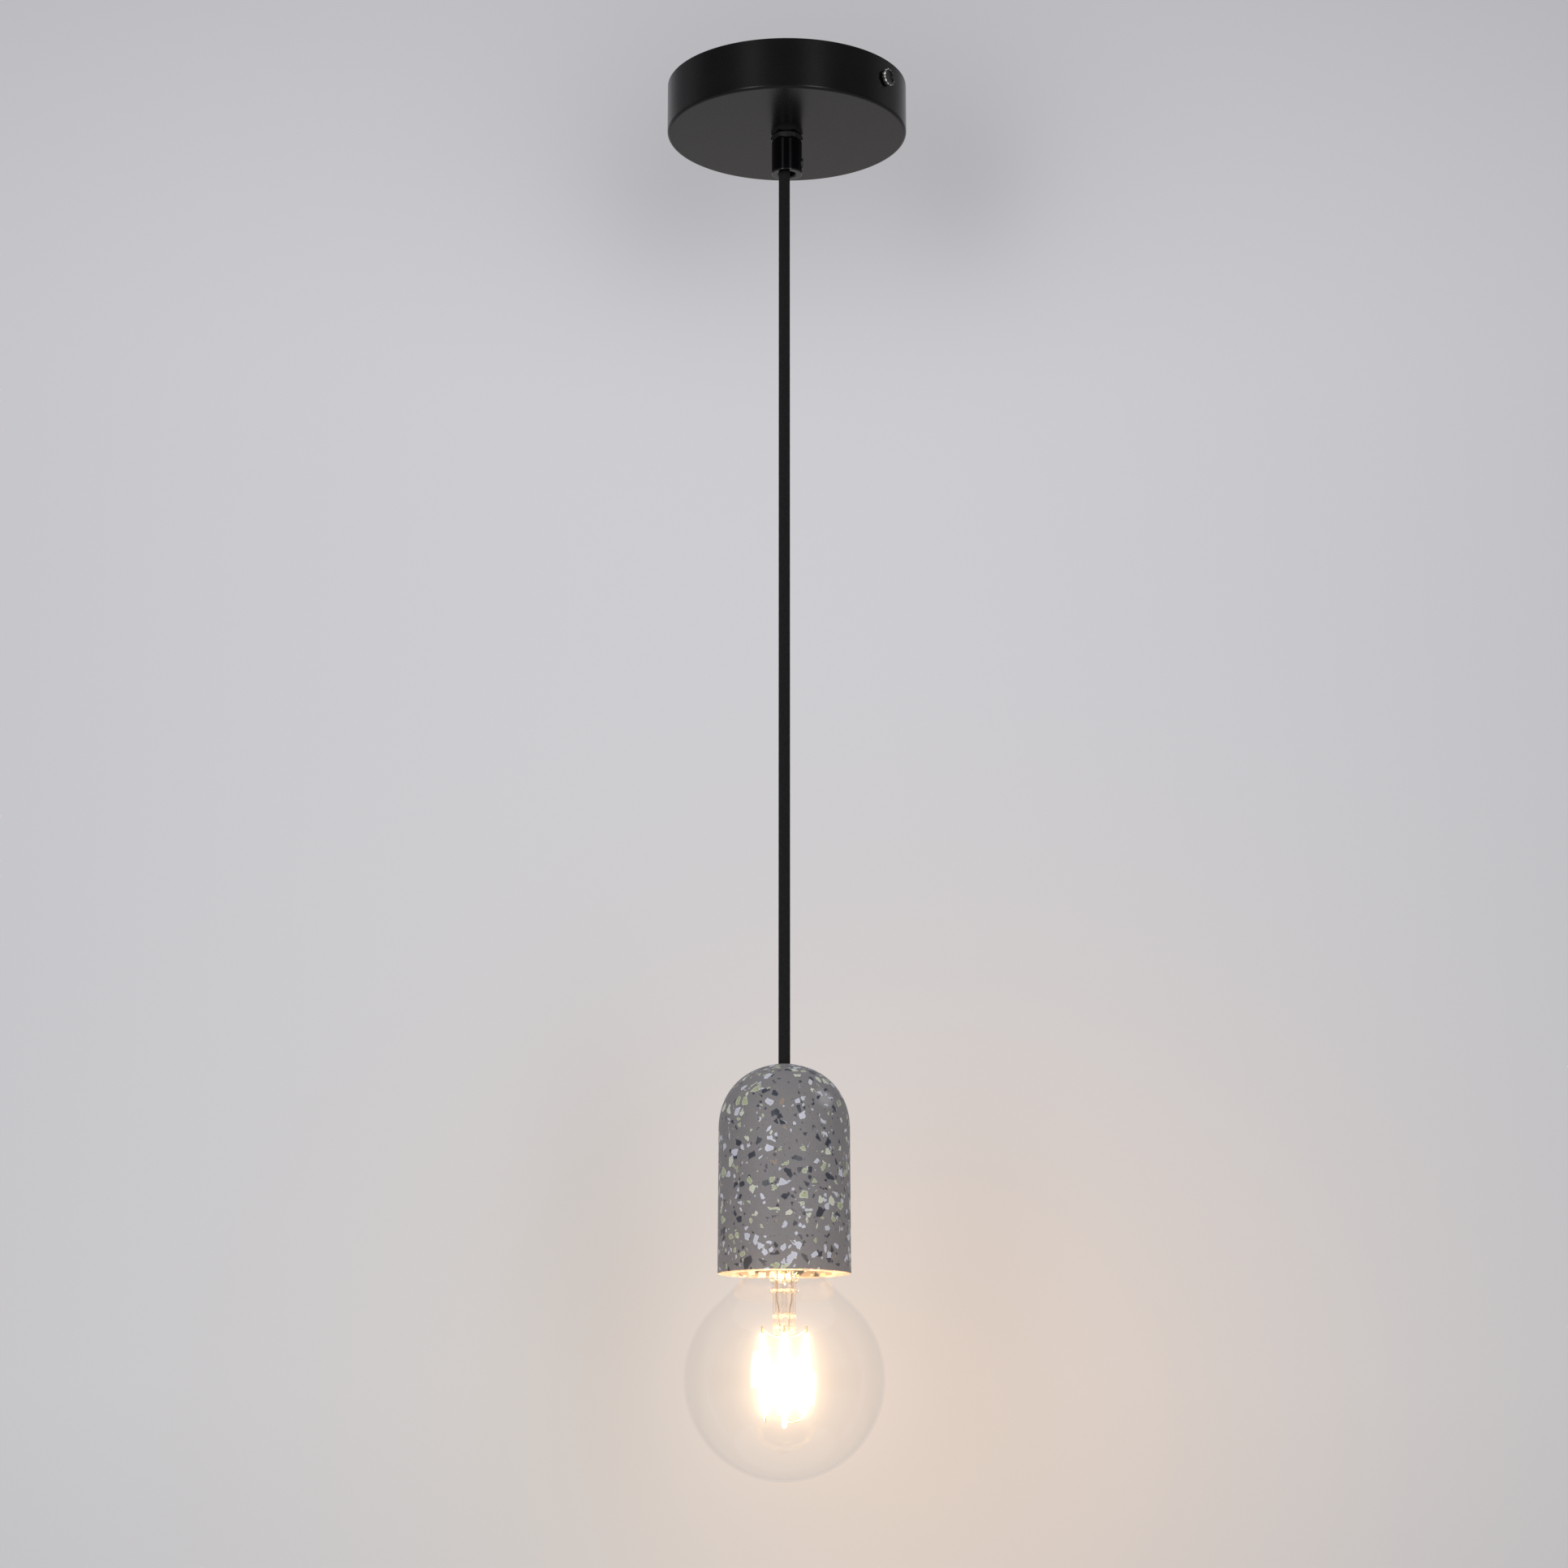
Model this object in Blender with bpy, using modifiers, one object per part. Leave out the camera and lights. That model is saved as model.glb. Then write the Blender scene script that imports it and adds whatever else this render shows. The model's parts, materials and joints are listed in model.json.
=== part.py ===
"""Pendant ceiling light: canopy, cord grip, textile cord, terrazzo shade, lampholder and globe lamp.

The ceiling is the plane z = 0 and the light hangs down from it. Lengths are in millimetres here and
are turned into metres when a mesh is made. Every turned piece is drawn as an outline of (radius,
height) points that runs down its outer side.
"""
import math

import bmesh
import bpy
from mathutils import Matrix, Vector

MM = 0.001
TURN = 2 * math.pi

# ---- driving dimensions, in mm -------------------------------------------------------------------
GAP = 0.3                      # running gap between pieces that touch

CANOPY_RADIUS = 60.6
CANOPY_HEIGHT = 26.0
CANOPY_WALL = 1.2
CANOPY_FILLET = 1.4

SCREW_AZIMUTH = math.radians(-36)   # direction of the right thumb screw, from +X
SCREW_DROP = 10.4              # thumb screw axis below the ceiling
THUMB_RADIUS = 4.4
THUMB_THICK = 1.9
THUMB_RECESS_RADIUS = 2.9
THUMB_RECESS_DEPTH = 0.8
THUMB_WASHER_RADIUS = 3.4
THUMB_WASHER_THICK = 0.4
M4_SHANK = 1.8                 # M4 thread drawn as a plain shank
M4_HOLE = 2.1
M4_REACH = 10.0                # thumb screw shank inside its washer's inner face

STRIP_WIDTH = 14.0             # ceiling bracket
STRIP_THICK = 1.5
TAB_REACH = 58.4               # outer face of each down-turned tab
TAB_DROP = 16.0

GRIP_RADIUS = 7.7
GRIP_TOP = -29.5
GRIP_BOTTOM = -46.9
GRIP_BORE = 4.3
STEM_RADIUS = 4.95             # M10 stem
STEM_TOP = -13.5
STEM_HOLE = 5.3
NUT_FLATS = 14.0
SET_SCREW_Z = -41.1
SET_SCREW_RADIUS = 2.9
SET_SCREW_OUT = 8.2            # how far the set screw's end stands from the grip's axis
PAD_RADIUS = 2.4
PAD_THICK = 1.9
STAR_WASHER_RADIUS = 9.2

HEAD_X = -1.3                  # the set screw presses the cord to the far side of the bore
CORD_RADIUS = 2.8
CORD_END = -541.0
SWING_FRONT_Z = -57.0          # the cord bends here front to back
SWING_SIDE_Z = -77.0           # and here side to side

SHADE_TOP = -500.3
SHADE_BOTTOM = -599.7
SHADE_SHOULDER = -531.4        # the dome runs into the straight side
SHADE_SHOULDER_RADIUS = 31.35
SHADE_RIM_RADIUS = 31.7
SHADE_WALL = 8.05
SHADE_HOLE = 4.5
DOME_POWER = 2.15              # 2 would be a true circle
CAVITY_TOP = -528.5
GROMMET_LENGTH = 9.0
SEAT_RADIUS = 15.5             # fibre washer between shade and lampholder
SEAT_BORE = 6.0

HOLDER_RADIUS = 19.6
HOLDER_TOP = -530.6
HOLDER_SPLIT = -548.0
HOLDER_RIM = -597.0
HOLDER_BORE = 17.6
INSERT_TOP = -549.3
INSERT_BOTTOM = -556.0
CONTACT_TRAVEL = 1.0           # how far the sprung centre contact can be pushed up

PITCH = 3.629                  # E27 thread
THREAD_DEPTH = 0.4             # half of crest to root
CAP_THREAD_RADIUS = 12.6
SHELL_THREAD_RADIUS = 13.15
THREAD_SIDES = 18
THREAD_ROW = PITCH / 4

BULB_TIP = -559.0
GLOBE_RADIUS = 47.5
GLOBE_Z = -648.8
GLASS = 1.0
NECK_RADIUS = 12.9
NECK_TOP = -586.0
STEM_END = -628.3
STEM_TUBE_RADIUS = 5.5
STEM_TUBE_BORE = 4.4
LEAD_SPREAD = 3.0
WIRE_RADIUS = 0.35
BOARD_SIZE = (15.0, 1.4, 15.0)

FILAMENTS = 6
FILAMENT_TOP = -627.2
FILAMENT_LENGTH = 38.0
FILAMENT_RADIUS = 1.0
FILAMENT_TOP_RING = 12.0
FILAMENT_LOW_RING = 10.4
FILAMENT_LEAN = math.radians(6)   # how far each filament's foot is turned round from its head


# ---- scene and materials -------------------------------------------------------------------------
def clear_scene():
    for old in list(bpy.data.objects):
        bpy.data.objects.remove(old, do_unlink=True)


def new_collection(name):
    group = bpy.data.collections.new(name)
    bpy.context.scene.collection.children.link(group)
    return group


clear_scene()
PARTS = new_collection("pendant_ceiling_light")
CUTTERS = new_collection("cutters")

FINISHES = {
    "powder_coat": ((0.012, 0.012, 0.013), 0.55, 0.0),
    "gloss_black": ((0.010, 0.010, 0.011), 0.22, 0.0),
    "zinc_steel": ((0.62, 0.63, 0.65), 0.35, 1.0),
    "black_nickel": ((0.09, 0.09, 0.10), 0.22, 1.0),
    "brass": ((0.72, 0.52, 0.24), 0.30, 1.0),
    "nickel": ((0.66, 0.64, 0.60), 0.22, 1.0),
    "white_nylon": ((0.82, 0.81, 0.78), 0.45, 0.0),
    "black_plastic": ((0.015, 0.015, 0.016), 0.40, 0.0),
    "textile": ((0.018, 0.018, 0.020), 0.85, 0.0),
    "core_brown": ((0.18, 0.07, 0.03), 0.45, 0.0),
    "core_blue": ((0.04, 0.12, 0.42), 0.45, 0.0),
    "terrazzo": ((0.21, 0.20, 0.19), 0.55, 0.0),
    "fibre": ((0.30, 0.10, 0.06), 0.70, 0.0),
    "porcelain": ((0.80, 0.79, 0.75), 0.30, 0.0),
    "clear_glass": ((0.95, 0.95, 0.95), 0.03, 0.0),
    "black_glass": ((0.01, 0.01, 0.01), 0.12, 0.0),
    "filament": ((1.0, 0.66, 0.25), 0.45, 0.0),
    "circuit_board": ((0.04, 0.16, 0.08), 0.45, 0.0),
}


def dress(piece, finish):
    """Give one object its own material."""
    colour, roughness, metallic = FINISHES[finish]
    material = bpy.data.materials.new(piece.name + "_" + finish)
    material.use_nodes = True
    shader = material.node_tree.nodes["Principled BSDF"]
    shader.inputs["Base Color"].default_value = (*colour, 1.0)
    shader.inputs["Roughness"].default_value = roughness
    shader.inputs["Metallic"].default_value = metallic
    material.diffuse_color = (*colour, 1.0)
    piece.data.materials.append(material)


# ---- shape helpers -------------------------------------------------------------------------------
def metres(point):
    return Vector(point) * MM


def pivot(name, place, parent=None):
    """An empty on a joint's axis; place is in the light's own frame."""
    empty = bpy.data.objects.new(name, None)
    empty.empty_display_size = 0.01
    PARTS.objects.link(empty)
    empty.location = metres(place)
    adopt(empty, parent)
    return empty


def adopt(child, parent):
    """Parent without moving the child; every pivot is unrotated, so only places are subtracted."""
    if parent is None:
        return
    child.parent = parent
    above = parent
    while above is not None:
        child.location = child.location - above.location
        above = above.parent


def put(name, mesh, finish, place=(0, 0, 0), turn=(0, 0, 0), parent=None, group=None):
    piece = bpy.data.objects.new(name, mesh)
    (group or PARTS).objects.link(piece)
    piece.location = metres(place)
    piece.rotation_euler = turn
    if finish:
        dress(piece, finish)
    adopt(piece, parent)
    return piece


def smooth(piece, angle=35):
    piece.data.shade_smooth()
    piece.data.set_sharp_from_angle(angle=math.radians(angle))


def turned(name, finish, outline, sides=24, closed=True, **where):
    """A turned piece: the outline goes round the local Z axis with a Screw modifier."""
    mesh = bpy.data.meshes.new(name)
    points = [(radius * MM, 0.0, height * MM) for radius, height in outline]
    edges = [(i, i + 1) for i in range(len(points) - 1)]
    if closed:
        edges.append((len(points) - 1, 0))
    mesh.from_pydata(points, edges, [])
    piece = put(name, mesh, finish, **where)
    screw = piece.modifiers.new("turn", "SCREW")
    screw.steps = sides
    screw.render_steps = sides
    screw.use_merge_vertices = True
    screw.merge_threshold = 0.00001
    screw.use_smooth_shade = False
    return piece


def above(outline, origin):
    """Heights of an outline measured from the piece's own origin."""
    return [(radius, height - origin) for radius, height in outline]


def ring(inner, outer, top, bottom, edge=0.0):
    """Outline of a washer or sleeve, with an optional chamfer on its outer edges."""
    if edge:
        return [(outer - edge, top), (outer, top - edge), (outer, bottom + edge), (outer - edge, bottom),
                (inner, bottom), (inner, top)]
    return [(outer, top), (outer, bottom), (inner, bottom), (inner, top)]


def block(name, finish, size, edge=0.0, **where):
    """A box with bevelled edges, centred on its place."""
    mesh = bpy.data.meshes.new(name)
    shape = bmesh.new()
    bmesh.ops.create_cube(shape, size=1.0)
    bmesh.ops.scale(shape, vec=metres(size), verts=shape.verts)
    shape.to_mesh(mesh)
    shape.free()
    piece = put(name, mesh, finish, **where)
    if edge:
        bevel = piece.modifiers.new("edge", "BEVEL")
        bevel.width = edge * MM
        bevel.segments = 1
    return piece


def rod_mesh(name, radius, length, sides):
    mesh = bpy.data.meshes.new(name)
    shape = bmesh.new()
    bmesh.ops.create_cone(shape, cap_ends=True, segments=sides, radius1=radius * MM, radius2=radius * MM,
                          depth=length * MM)
    shape.to_mesh(mesh)
    shape.free()
    return mesh


def rod(name, finish, radius, length, sides=20, **where):
    return put(name, rod_mesh(name, radius, length, sides), finish, **where)


def cut(piece, cutter):
    """Take the cutter out of the piece; the cutter stays as a hidden wire shape."""
    cutter.hide_render = True
    cutter.display_type = "WIRE"
    boolean = piece.modifiers.new("cut", "BOOLEAN")
    boolean.operation = "DIFFERENCE"
    boolean.solver = "EXACT"
    boolean.object = cutter


def hole(piece, radius, length, sides=16, **where):
    label = "cut_" + piece.name + "_" + str(len(piece.modifiers))
    cut(piece, put(label, rod_mesh(label, radius, length, sides), None, group=CUTTERS, **where))


def notch(piece, size, **where):
    label = "cut_" + piece.name + "_" + str(len(piece.modifiers))
    shape = block(label, None, size, group=CUTTERS, **where)
    cut(piece, shape)


def wire(name, finish, points, radius, place=(0, 0, 0), parent=None, factors=None):
    """A wire or cord as a poly curve with a round bevel and filled caps.

    The points are in the light's frame; factors scale the radius point by point.
    """
    curve = bpy.data.curves.new(name, "CURVE")
    curve.dimensions = "3D"
    curve.bevel_depth = radius * MM
    curve.bevel_resolution = 2
    curve.use_fill_caps = True
    spline = curve.splines.new("POLY")
    spline.points.add(len(points) - 1)
    for i, point in enumerate(points):
        spline.points[i].co = (*(metres(point) - metres(place)), 1.0)
        spline.points[i].radius = factors[i] if factors else 1.0
    return put(name, curve, finish, place=place, parent=parent)


def bezier(a, b, c, d, count):
    """Points along a cubic curve, its start left out."""
    points = []
    for i in range(1, count + 1):
        t = i / count
        weights = ((1 - t) ** 3, 3 * t * (1 - t) ** 2, 3 * t * t * (1 - t), t ** 3)
        points.append(tuple(sum(w * p[k] for w, p in zip(weights, (a, b, c, d))) for k in range(2)))
    return points


def smooth_route(knots, count):
    """Points on one smooth curve through the knots (Catmull-Rom)."""
    ends = [knots[0]] + list(knots) + [knots[-1]]
    route = []
    for i in range(1, len(ends) - 2):
        p0, p1, p2, p3 = (Vector(ends[i + k]) for k in (-1, 0, 1, 2))
        for step in range(count):
            t = step / count
            route.append(0.5 * ((2 * p1) + (p2 - p0) * t + (2 * p0 - 5 * p1 + 4 * p2 - p3) * t * t
                                + (3 * p1 - p0 - 3 * p2 + p3) * t ** 3))
    route.append(Vector(knots[-1]))
    return route


def threaded_sleeve(name, finish, radius_at, top, bottom, wall, place, parent):
    """A thin sleeve whose radius is a function of height and angle, made solid with Solidify.

    Its rows lie a quarter of a pitch apart, on one lattice that mating threads share.
    """
    bottom, top = (round(height / THREAD_ROW) * THREAD_ROW for height in (bottom, top))
    rows = round((top - bottom) / THREAD_ROW)
    mesh = bpy.data.meshes.new(name)
    shape = bmesh.new()
    bmesh.ops.create_grid(shape, x_segments=THREAD_SIDES, y_segments=rows, size=0.5)
    for vert in shape.verts:
        angle = (vert.co.x + 0.5) * TURN
        height = bottom + (vert.co.y + 0.5) * (top - bottom)
        radius = radius_at(height, angle)
        vert.co = metres((radius * math.cos(angle), radius * math.sin(angle), height - place[2]))
    bmesh.ops.remove_doubles(shape, verts=shape.verts, dist=0.00001)
    shape.to_mesh(mesh)
    shape.free()
    piece = put(name, mesh, finish, place=place, parent=parent)
    solid = piece.modifiers.new("wall", "SOLIDIFY")
    solid.thickness = wall * MM
    solid.offset = -1.0
    return piece


def thread_wave(height, angle):
    """Right-hand thread: a triangle wave from -1 to 1 that climbs one pitch a turn."""
    phase = (height / PITCH - angle / TURN) % 1.0
    return 4 * abs(phase - 0.5) - 1.0


def fade(height, top, bottom, length=2.0):
    """1 in the middle of a threaded stretch, falling to 0 at its two ends."""
    return max(0.0, min(1.0, (top - height) / length, (height - bottom) / length))


# ---- canopy: bracket, cup, thumb screws ----------------------------------------------------------
BLOCK_REACH = -26.0            # terminal block's middle along the bracket
BLOCK_SIZE = (18.0, 17.0, 11.5)
POLE_SPACING = 9.0
TUBE_RADIUS = 2.6
TUBE_BORE = 1.7
TUBE_LENGTH = 17.2
TERMINAL_OFFSET = 5.0
EARTH_REACH = 14.0
SLOT_REACH = 43.0              # ceiling screw slots
SLOT_CUT = (12.0, 5.0, 6.0)
EARTH_HEAD_RADIUS = 3.6
FIXING_RADIUS = 1.3


def along(reach, height, side=0.0):
    """A place along the bracket's length, turned with it."""
    c, s = math.cos(SCREW_AZIMUTH), math.sin(SCREW_AZIMUTH)
    return (reach * c - side * s, reach * s + side * c, height)


BRACKET_TURN = (0, 0, SCREW_AZIMUTH)


def make_bracket():
    """A flat steel strip with both ends bent down, drawn as one side outline of even thickness."""
    inner = TAB_REACH - STRIP_THICK
    half = [(TAB_REACH, 0), (TAB_REACH, -TAB_DROP), (inner, -TAB_DROP), (inner, -STRIP_THICK)]
    outline = half + [(-x, z) for x, z in reversed(half)]
    curve = bpy.data.curves.new("bracket_outline", "CURVE")
    curve.dimensions = "2D"
    curve.fill_mode = "BOTH"
    curve.extrude = STRIP_WIDTH * MM / 2
    spline = curve.splines.new("POLY")
    spline.points.add(len(outline) - 1)
    spline.use_cyclic_u = True
    for i, (x, z) in enumerate(outline):
        spline.points[i].co = (x * MM, z * MM, 0, 1)
    flat = bpy.data.objects.new("bracket_outline", curve)
    bpy.context.scene.collection.objects.link(flat)
    bpy.context.view_layer.update()
    mesh = bpy.data.meshes.new_from_object(flat.evaluated_get(bpy.context.evaluated_depsgraph_get()))
    bpy.data.objects.remove(flat, do_unlink=True)
    shape = bmesh.new()
    shape.from_mesh(mesh)
    bmesh.ops.remove_doubles(shape, verts=shape.verts, dist=0.00001)
    upright = Matrix.Rotation(math.pi / 2, 3, "X")
    bmesh.ops.rotate(shape, cent=(0, 0, 0), matrix=upright, verts=shape.verts)
    bmesh.ops.recalc_face_normals(shape, faces=shape.faces)
    shape.to_mesh(mesh)
    shape.free()
    bracket = put("ceiling_bracket", mesh, "zinc_steel", turn=BRACKET_TURN)
    for side in (-1, 1):
        notch(bracket, SLOT_CUT, place=along(side * SLOT_REACH, -1), turn=BRACKET_TURN)
        hole(bracket, M4_HOLE, 6, place=along(side * TAB_REACH, -SCREW_DROP),
             turn=(0, math.pi / 2, SCREW_AZIMUTH))
    hole(bracket, M4_HOLE, 6, place=along(EARTH_REACH, -1))
    hole(bracket, FIXING_RADIUS + GAP, 6, place=along(BLOCK_REACH, -1))


def make_earth_screw():
    """Pan head screw with a cross recess, up through the bracket."""
    head, wide = -STRIP_THICK - GAP, EARTH_HEAD_RADIUS
    low = head - 2.2
    outline = [(0, -GAP), (M4_SHANK, -GAP), (M4_SHANK, head), (wide, head), (wide, head - 1.4),
               (wide - 0.8, low), (0, low)]
    screw = turned("bracket_earth_screw", "brass", outline, sides=16, closed=False,
                   place=along(EARTH_REACH, 0))
    for spin in (0, math.pi / 2):
        notch(screw, (4.4, 0.9, 1.6), place=along(EARTH_REACH, low), turn=(0, 0, spin))


def make_canopy():
    """A drawn steel cup of even wall, with a hole for the grip's stem and two for the thumb screws."""
    outer, bottom = CANOPY_RADIUS, -CANOPY_HEIGHT
    fillet = []
    for step in range(4):
        angle = step / 3 * math.pi / 2
        fillet.append((outer - CANOPY_FILLET * (1 - math.cos(angle)),
                       bottom + CANOPY_FILLET * (1 - math.sin(angle))))
    inner, floor = outer - CANOPY_WALL, bottom + CANOPY_WALL
    outline = [(outer, 0)] + fillet
    outline += [(STEM_HOLE, bottom), (STEM_HOLE, floor), (inner - 0.6, floor), (inner, floor + 0.6),
                (inner, 0)]
    cup = turned("canopy_cup", "powder_coat", outline, sides=44)
    for side in (-1, 1):
        hole(cup, M4_HOLE + GAP, 12, place=along(side * CANOPY_RADIUS, -SCREW_DROP),
             turn=(0, math.pi / 2, SCREW_AZIMUTH))


def make_thumb_screw(side, label):
    """Thumb screw and its washer; local +Z points outward along the screw's axis."""
    azimuth = SCREW_AZIMUTH + (0 if side > 0 else math.pi)
    turn = (0, math.pi / 2, azimuth)
    place = along(side * (CANOPY_RADIUS + GAP), -SCREW_DROP)
    axis = pivot("thumb_screw_axis_" + label, place)
    turned("thumb_screw_washer_" + label, "black_nickel",
           ring(M4_HOLE, THUMB_WASHER_RADIUS, THUMB_WASHER_THICK, 0), sides=16,
           place=place, turn=turn, parent=axis)
    rim, edge = THUMB_RADIUS, 0.4
    base = THUMB_WASHER_THICK + GAP
    top = base + THUMB_THICK
    dish = top - THUMB_RECESS_DEPTH
    outline = [(0, dish), (THUMB_RECESS_RADIUS, dish), (THUMB_RECESS_RADIUS, top), (rim - edge, top),
               (rim, top - edge), (rim, base + edge), (rim - edge, base), (M4_SHANK, base),
               (M4_SHANK, 0.6 - M4_REACH), (M4_SHANK - 0.6, -M4_REACH), (0, -M4_REACH)]
    turned("thumb_screw_" + label, "black_nickel", outline, sides=18, closed=False, place=place,
           turn=turn, parent=axis)


def make_terminal_block():
    top = -STRIP_THICK - GAP
    middle = top - BLOCK_SIZE[2] / 2
    body = block("terminal_block", "white_nylon", BLOCK_SIZE, edge=0.8,
                 place=along(BLOCK_REACH, middle), turn=BRACKET_TURN)
    hole(body, FIXING_RADIUS + GAP, 20, place=along(BLOCK_REACH, middle))
    head = top - BLOCK_SIZE[2] - 0.2
    fixing = [(0, -GAP), (FIXING_RADIUS, -GAP), (FIXING_RADIUS, head), (2.4, head), (2.4, head - 1.4),
              (0, head - 1.4)]
    turned("terminal_block_screw", "zinc_steel", fixing, sides=16, closed=False,
           place=along(BLOCK_REACH, 0))
    count = 0
    for pole, label in ((-1, "a"), (1, "b")):
        side = pole * POLE_SPACING / 2
        lying = (0, math.pi / 2, SCREW_AZIMUTH)
        hole(body, TUBE_RADIUS + GAP, 24, place=along(BLOCK_REACH, middle, side), turn=lying)
        tube = turned("terminal_tube_" + label, "brass",
                      ring(TUBE_BORE, TUBE_RADIUS, TUBE_LENGTH / 2, -TUBE_LENGTH / 2), sides=12,
                      place=along(BLOCK_REACH, middle, side), turn=lying)
        for end in (-1, 1):
            count += 1
            reach = BLOCK_REACH + end * TERMINAL_OFFSET
            hole(body, 1.9, 6, sides=12, place=along(reach, middle - 5.0, side))
            hole(tube, 1.6, 3, sides=12, place=along(reach, middle - 2.2, side))
            tip, head = middle - 1.0, middle - 5.2
            outline = [(0, tip), (1.2, tip), (1.2, head), (0, head)]
            screw = turned("terminal_screw_" + str(count), "zinc_steel", above(outline, middle),
                           sides=12, closed=False, place=along(reach, middle, side))
            notch(screw, (3.0, 0.5, 1.0), place=along(reach, head, side))
    return middle


# ---- cord grip ----------------------------------------------------------------------------------
def make_grip():
    """The turned body that hangs in the canopy's hole, its nuts, and the screw that holds the cord."""
    bore, stem, outer = GRIP_BORE, STEM_RADIUS, GRIP_RADIUS
    outline = [(stem, STEM_TOP), (stem, GRIP_TOP), (outer - 0.3, GRIP_TOP), (outer, GRIP_TOP - 0.3),
               (outer, GRIP_BOTTOM + 0.7), (outer - 0.7, GRIP_BOTTOM), (bore + 0.6, GRIP_BOTTOM),
               (bore, GRIP_BOTTOM + 0.6), (bore, STEM_TOP)]
    grip = turned("cord_grip_body", "gloss_black", outline, sides=28)
    sideways = (0, math.pi / 2, 0)
    hole(grip, SET_SCREW_RADIUS + GAP, 2 * outer - 4.0, place=(outer, 0, SET_SCREW_Z), turn=sideways)

    corner = NUT_FLATS / math.sqrt(3)
    nut_top, nut_bottom = -CANOPY_HEIGHT - GAP, GRIP_TOP + GAP
    lock_bottom = -CANOPY_HEIGHT + CANOPY_WALL + 1.5
    for name, finish, low, high in (("grip_hex_nut", "gloss_black", nut_bottom, nut_top),
                                    ("grip_lock_nut", "zinc_steel", lock_bottom, lock_bottom + 4.0)):
        nut = rod(name, finish, corner, high - low, sides=6, place=(0, 0, (high + low) / 2),
                  turn=(0, 0, TURN / 12))
        hole(nut, stem + GAP, 12, sides=24, place=(0, 0, (high + low) / 2))
    washer_low = -CANOPY_HEIGHT + CANOPY_WALL + GAP
    rim = STAR_WASHER_RADIUS
    washer = turned("grip_star_washer", "zinc_steel",
                    ring(stem + GAP, rim, washer_low + 0.8, washer_low), sides=18)
    for tooth in range(6):
        angle = tooth / 6 * TURN
        notch(washer, (2.4, 1.6, 3.0), turn=(0, 0, angle),
              place=(rim * math.cos(angle), rim * math.sin(angle), washer_low))

    place = (HEAD_X + CORD_RADIUS + GAP, 0, SET_SCREW_Z)
    axis = pivot("set_screw_axis", place)
    pad = [(0, PAD_THICK), (PAD_RADIUS, PAD_THICK), (PAD_RADIUS, 0), (0, 0)]
    turned("grip_pressure_pad", "white_nylon", pad, sides=16, closed=False, place=place, turn=sideways,
           parent=axis)
    base, top = PAD_THICK + GAP, SET_SCREW_OUT - place[0]
    wide = SET_SCREW_RADIUS
    outline = [(0, top), (wide - 0.4, top), (wide, top - 0.4), (wide, base), (0, base)]
    screw = turned("grip_set_screw", "black_plastic", outline, sides=18, closed=False, place=place,
                   turn=sideways, parent=axis)
    notch(screw, (2.0, 0.9, 4.4), place=(SET_SCREW_OUT, 0, SET_SCREW_Z))


# ---- cord ----------------------------------------------------------------------------------------
TAIL_TOP = -12.0
CORE_RADIUS = 0.95
CORE_SPREAD = 1.3
HINGE_CLEAR = CORD_RADIUS + GAP   # room over a round cord end that turns in place


def straight_cord(name, top, bottom, round_top, parent=None):
    """A hanging stretch of cord; a round top is a half ball centred on its joint."""
    heights, factors = [], []
    if round_top:
        for step in range(1, 5):
            angle = math.pi / 2 * (1 - step / 5)
            heights.append(top + CORD_RADIUS * math.sin(angle))
            factors.append(math.cos(angle))
    count = max(2, round((top - bottom) / (3 * 2 * CORD_RADIUS)))
    for step in range(count + 1):
        heights.append(top + (bottom - top) * step / count)
        factors.append(1.0)
    points = [(HEAD_X, 0, height) for height in heights]
    wire(name, "textile", points, CORD_RADIUS, place=(HEAD_X, 0, top), parent=parent, factors=factors)


def make_cords(terminal_z, front, side):
    """Three stretches of cord with a hinge between each two, and the cores up to the terminals."""
    straight_cord("cord_tail", TAIL_TOP, SWING_FRONT_Z + HINGE_CLEAR, False)
    straight_cord("cord_root", SWING_FRONT_Z, SWING_SIDE_Z + HINGE_CLEAR, True, parent=front)
    straight_cord("cord", SWING_SIDE_Z, CORD_END, True, parent=side)
    entry = BLOCK_REACH + BLOCK_SIZE[0] / 2
    for name, finish, pole in (("core_live_top", "core_brown", -1),
                               ("core_neutral_top", "core_blue", 1)):
        offset = pole * POLE_SPACING / 2
        start = Vector((HEAD_X, 0, TAIL_TOP + GAP)) + Vector(along(0, 0, pole * CORE_SPREAD))
        knots = [start, start + Vector((0, 0, 2.0)), along(-8.0, TAIL_TOP + 4.0, pole * 2.4),
                 along(entry + 5.0, terminal_z + 0.6, offset), along(entry + 1.0, terminal_z, offset),
                 along(entry - 1.6, terminal_z, offset)]
        wire(name, finish, smooth_route(knots, 3), CORE_RADIUS)


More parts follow.
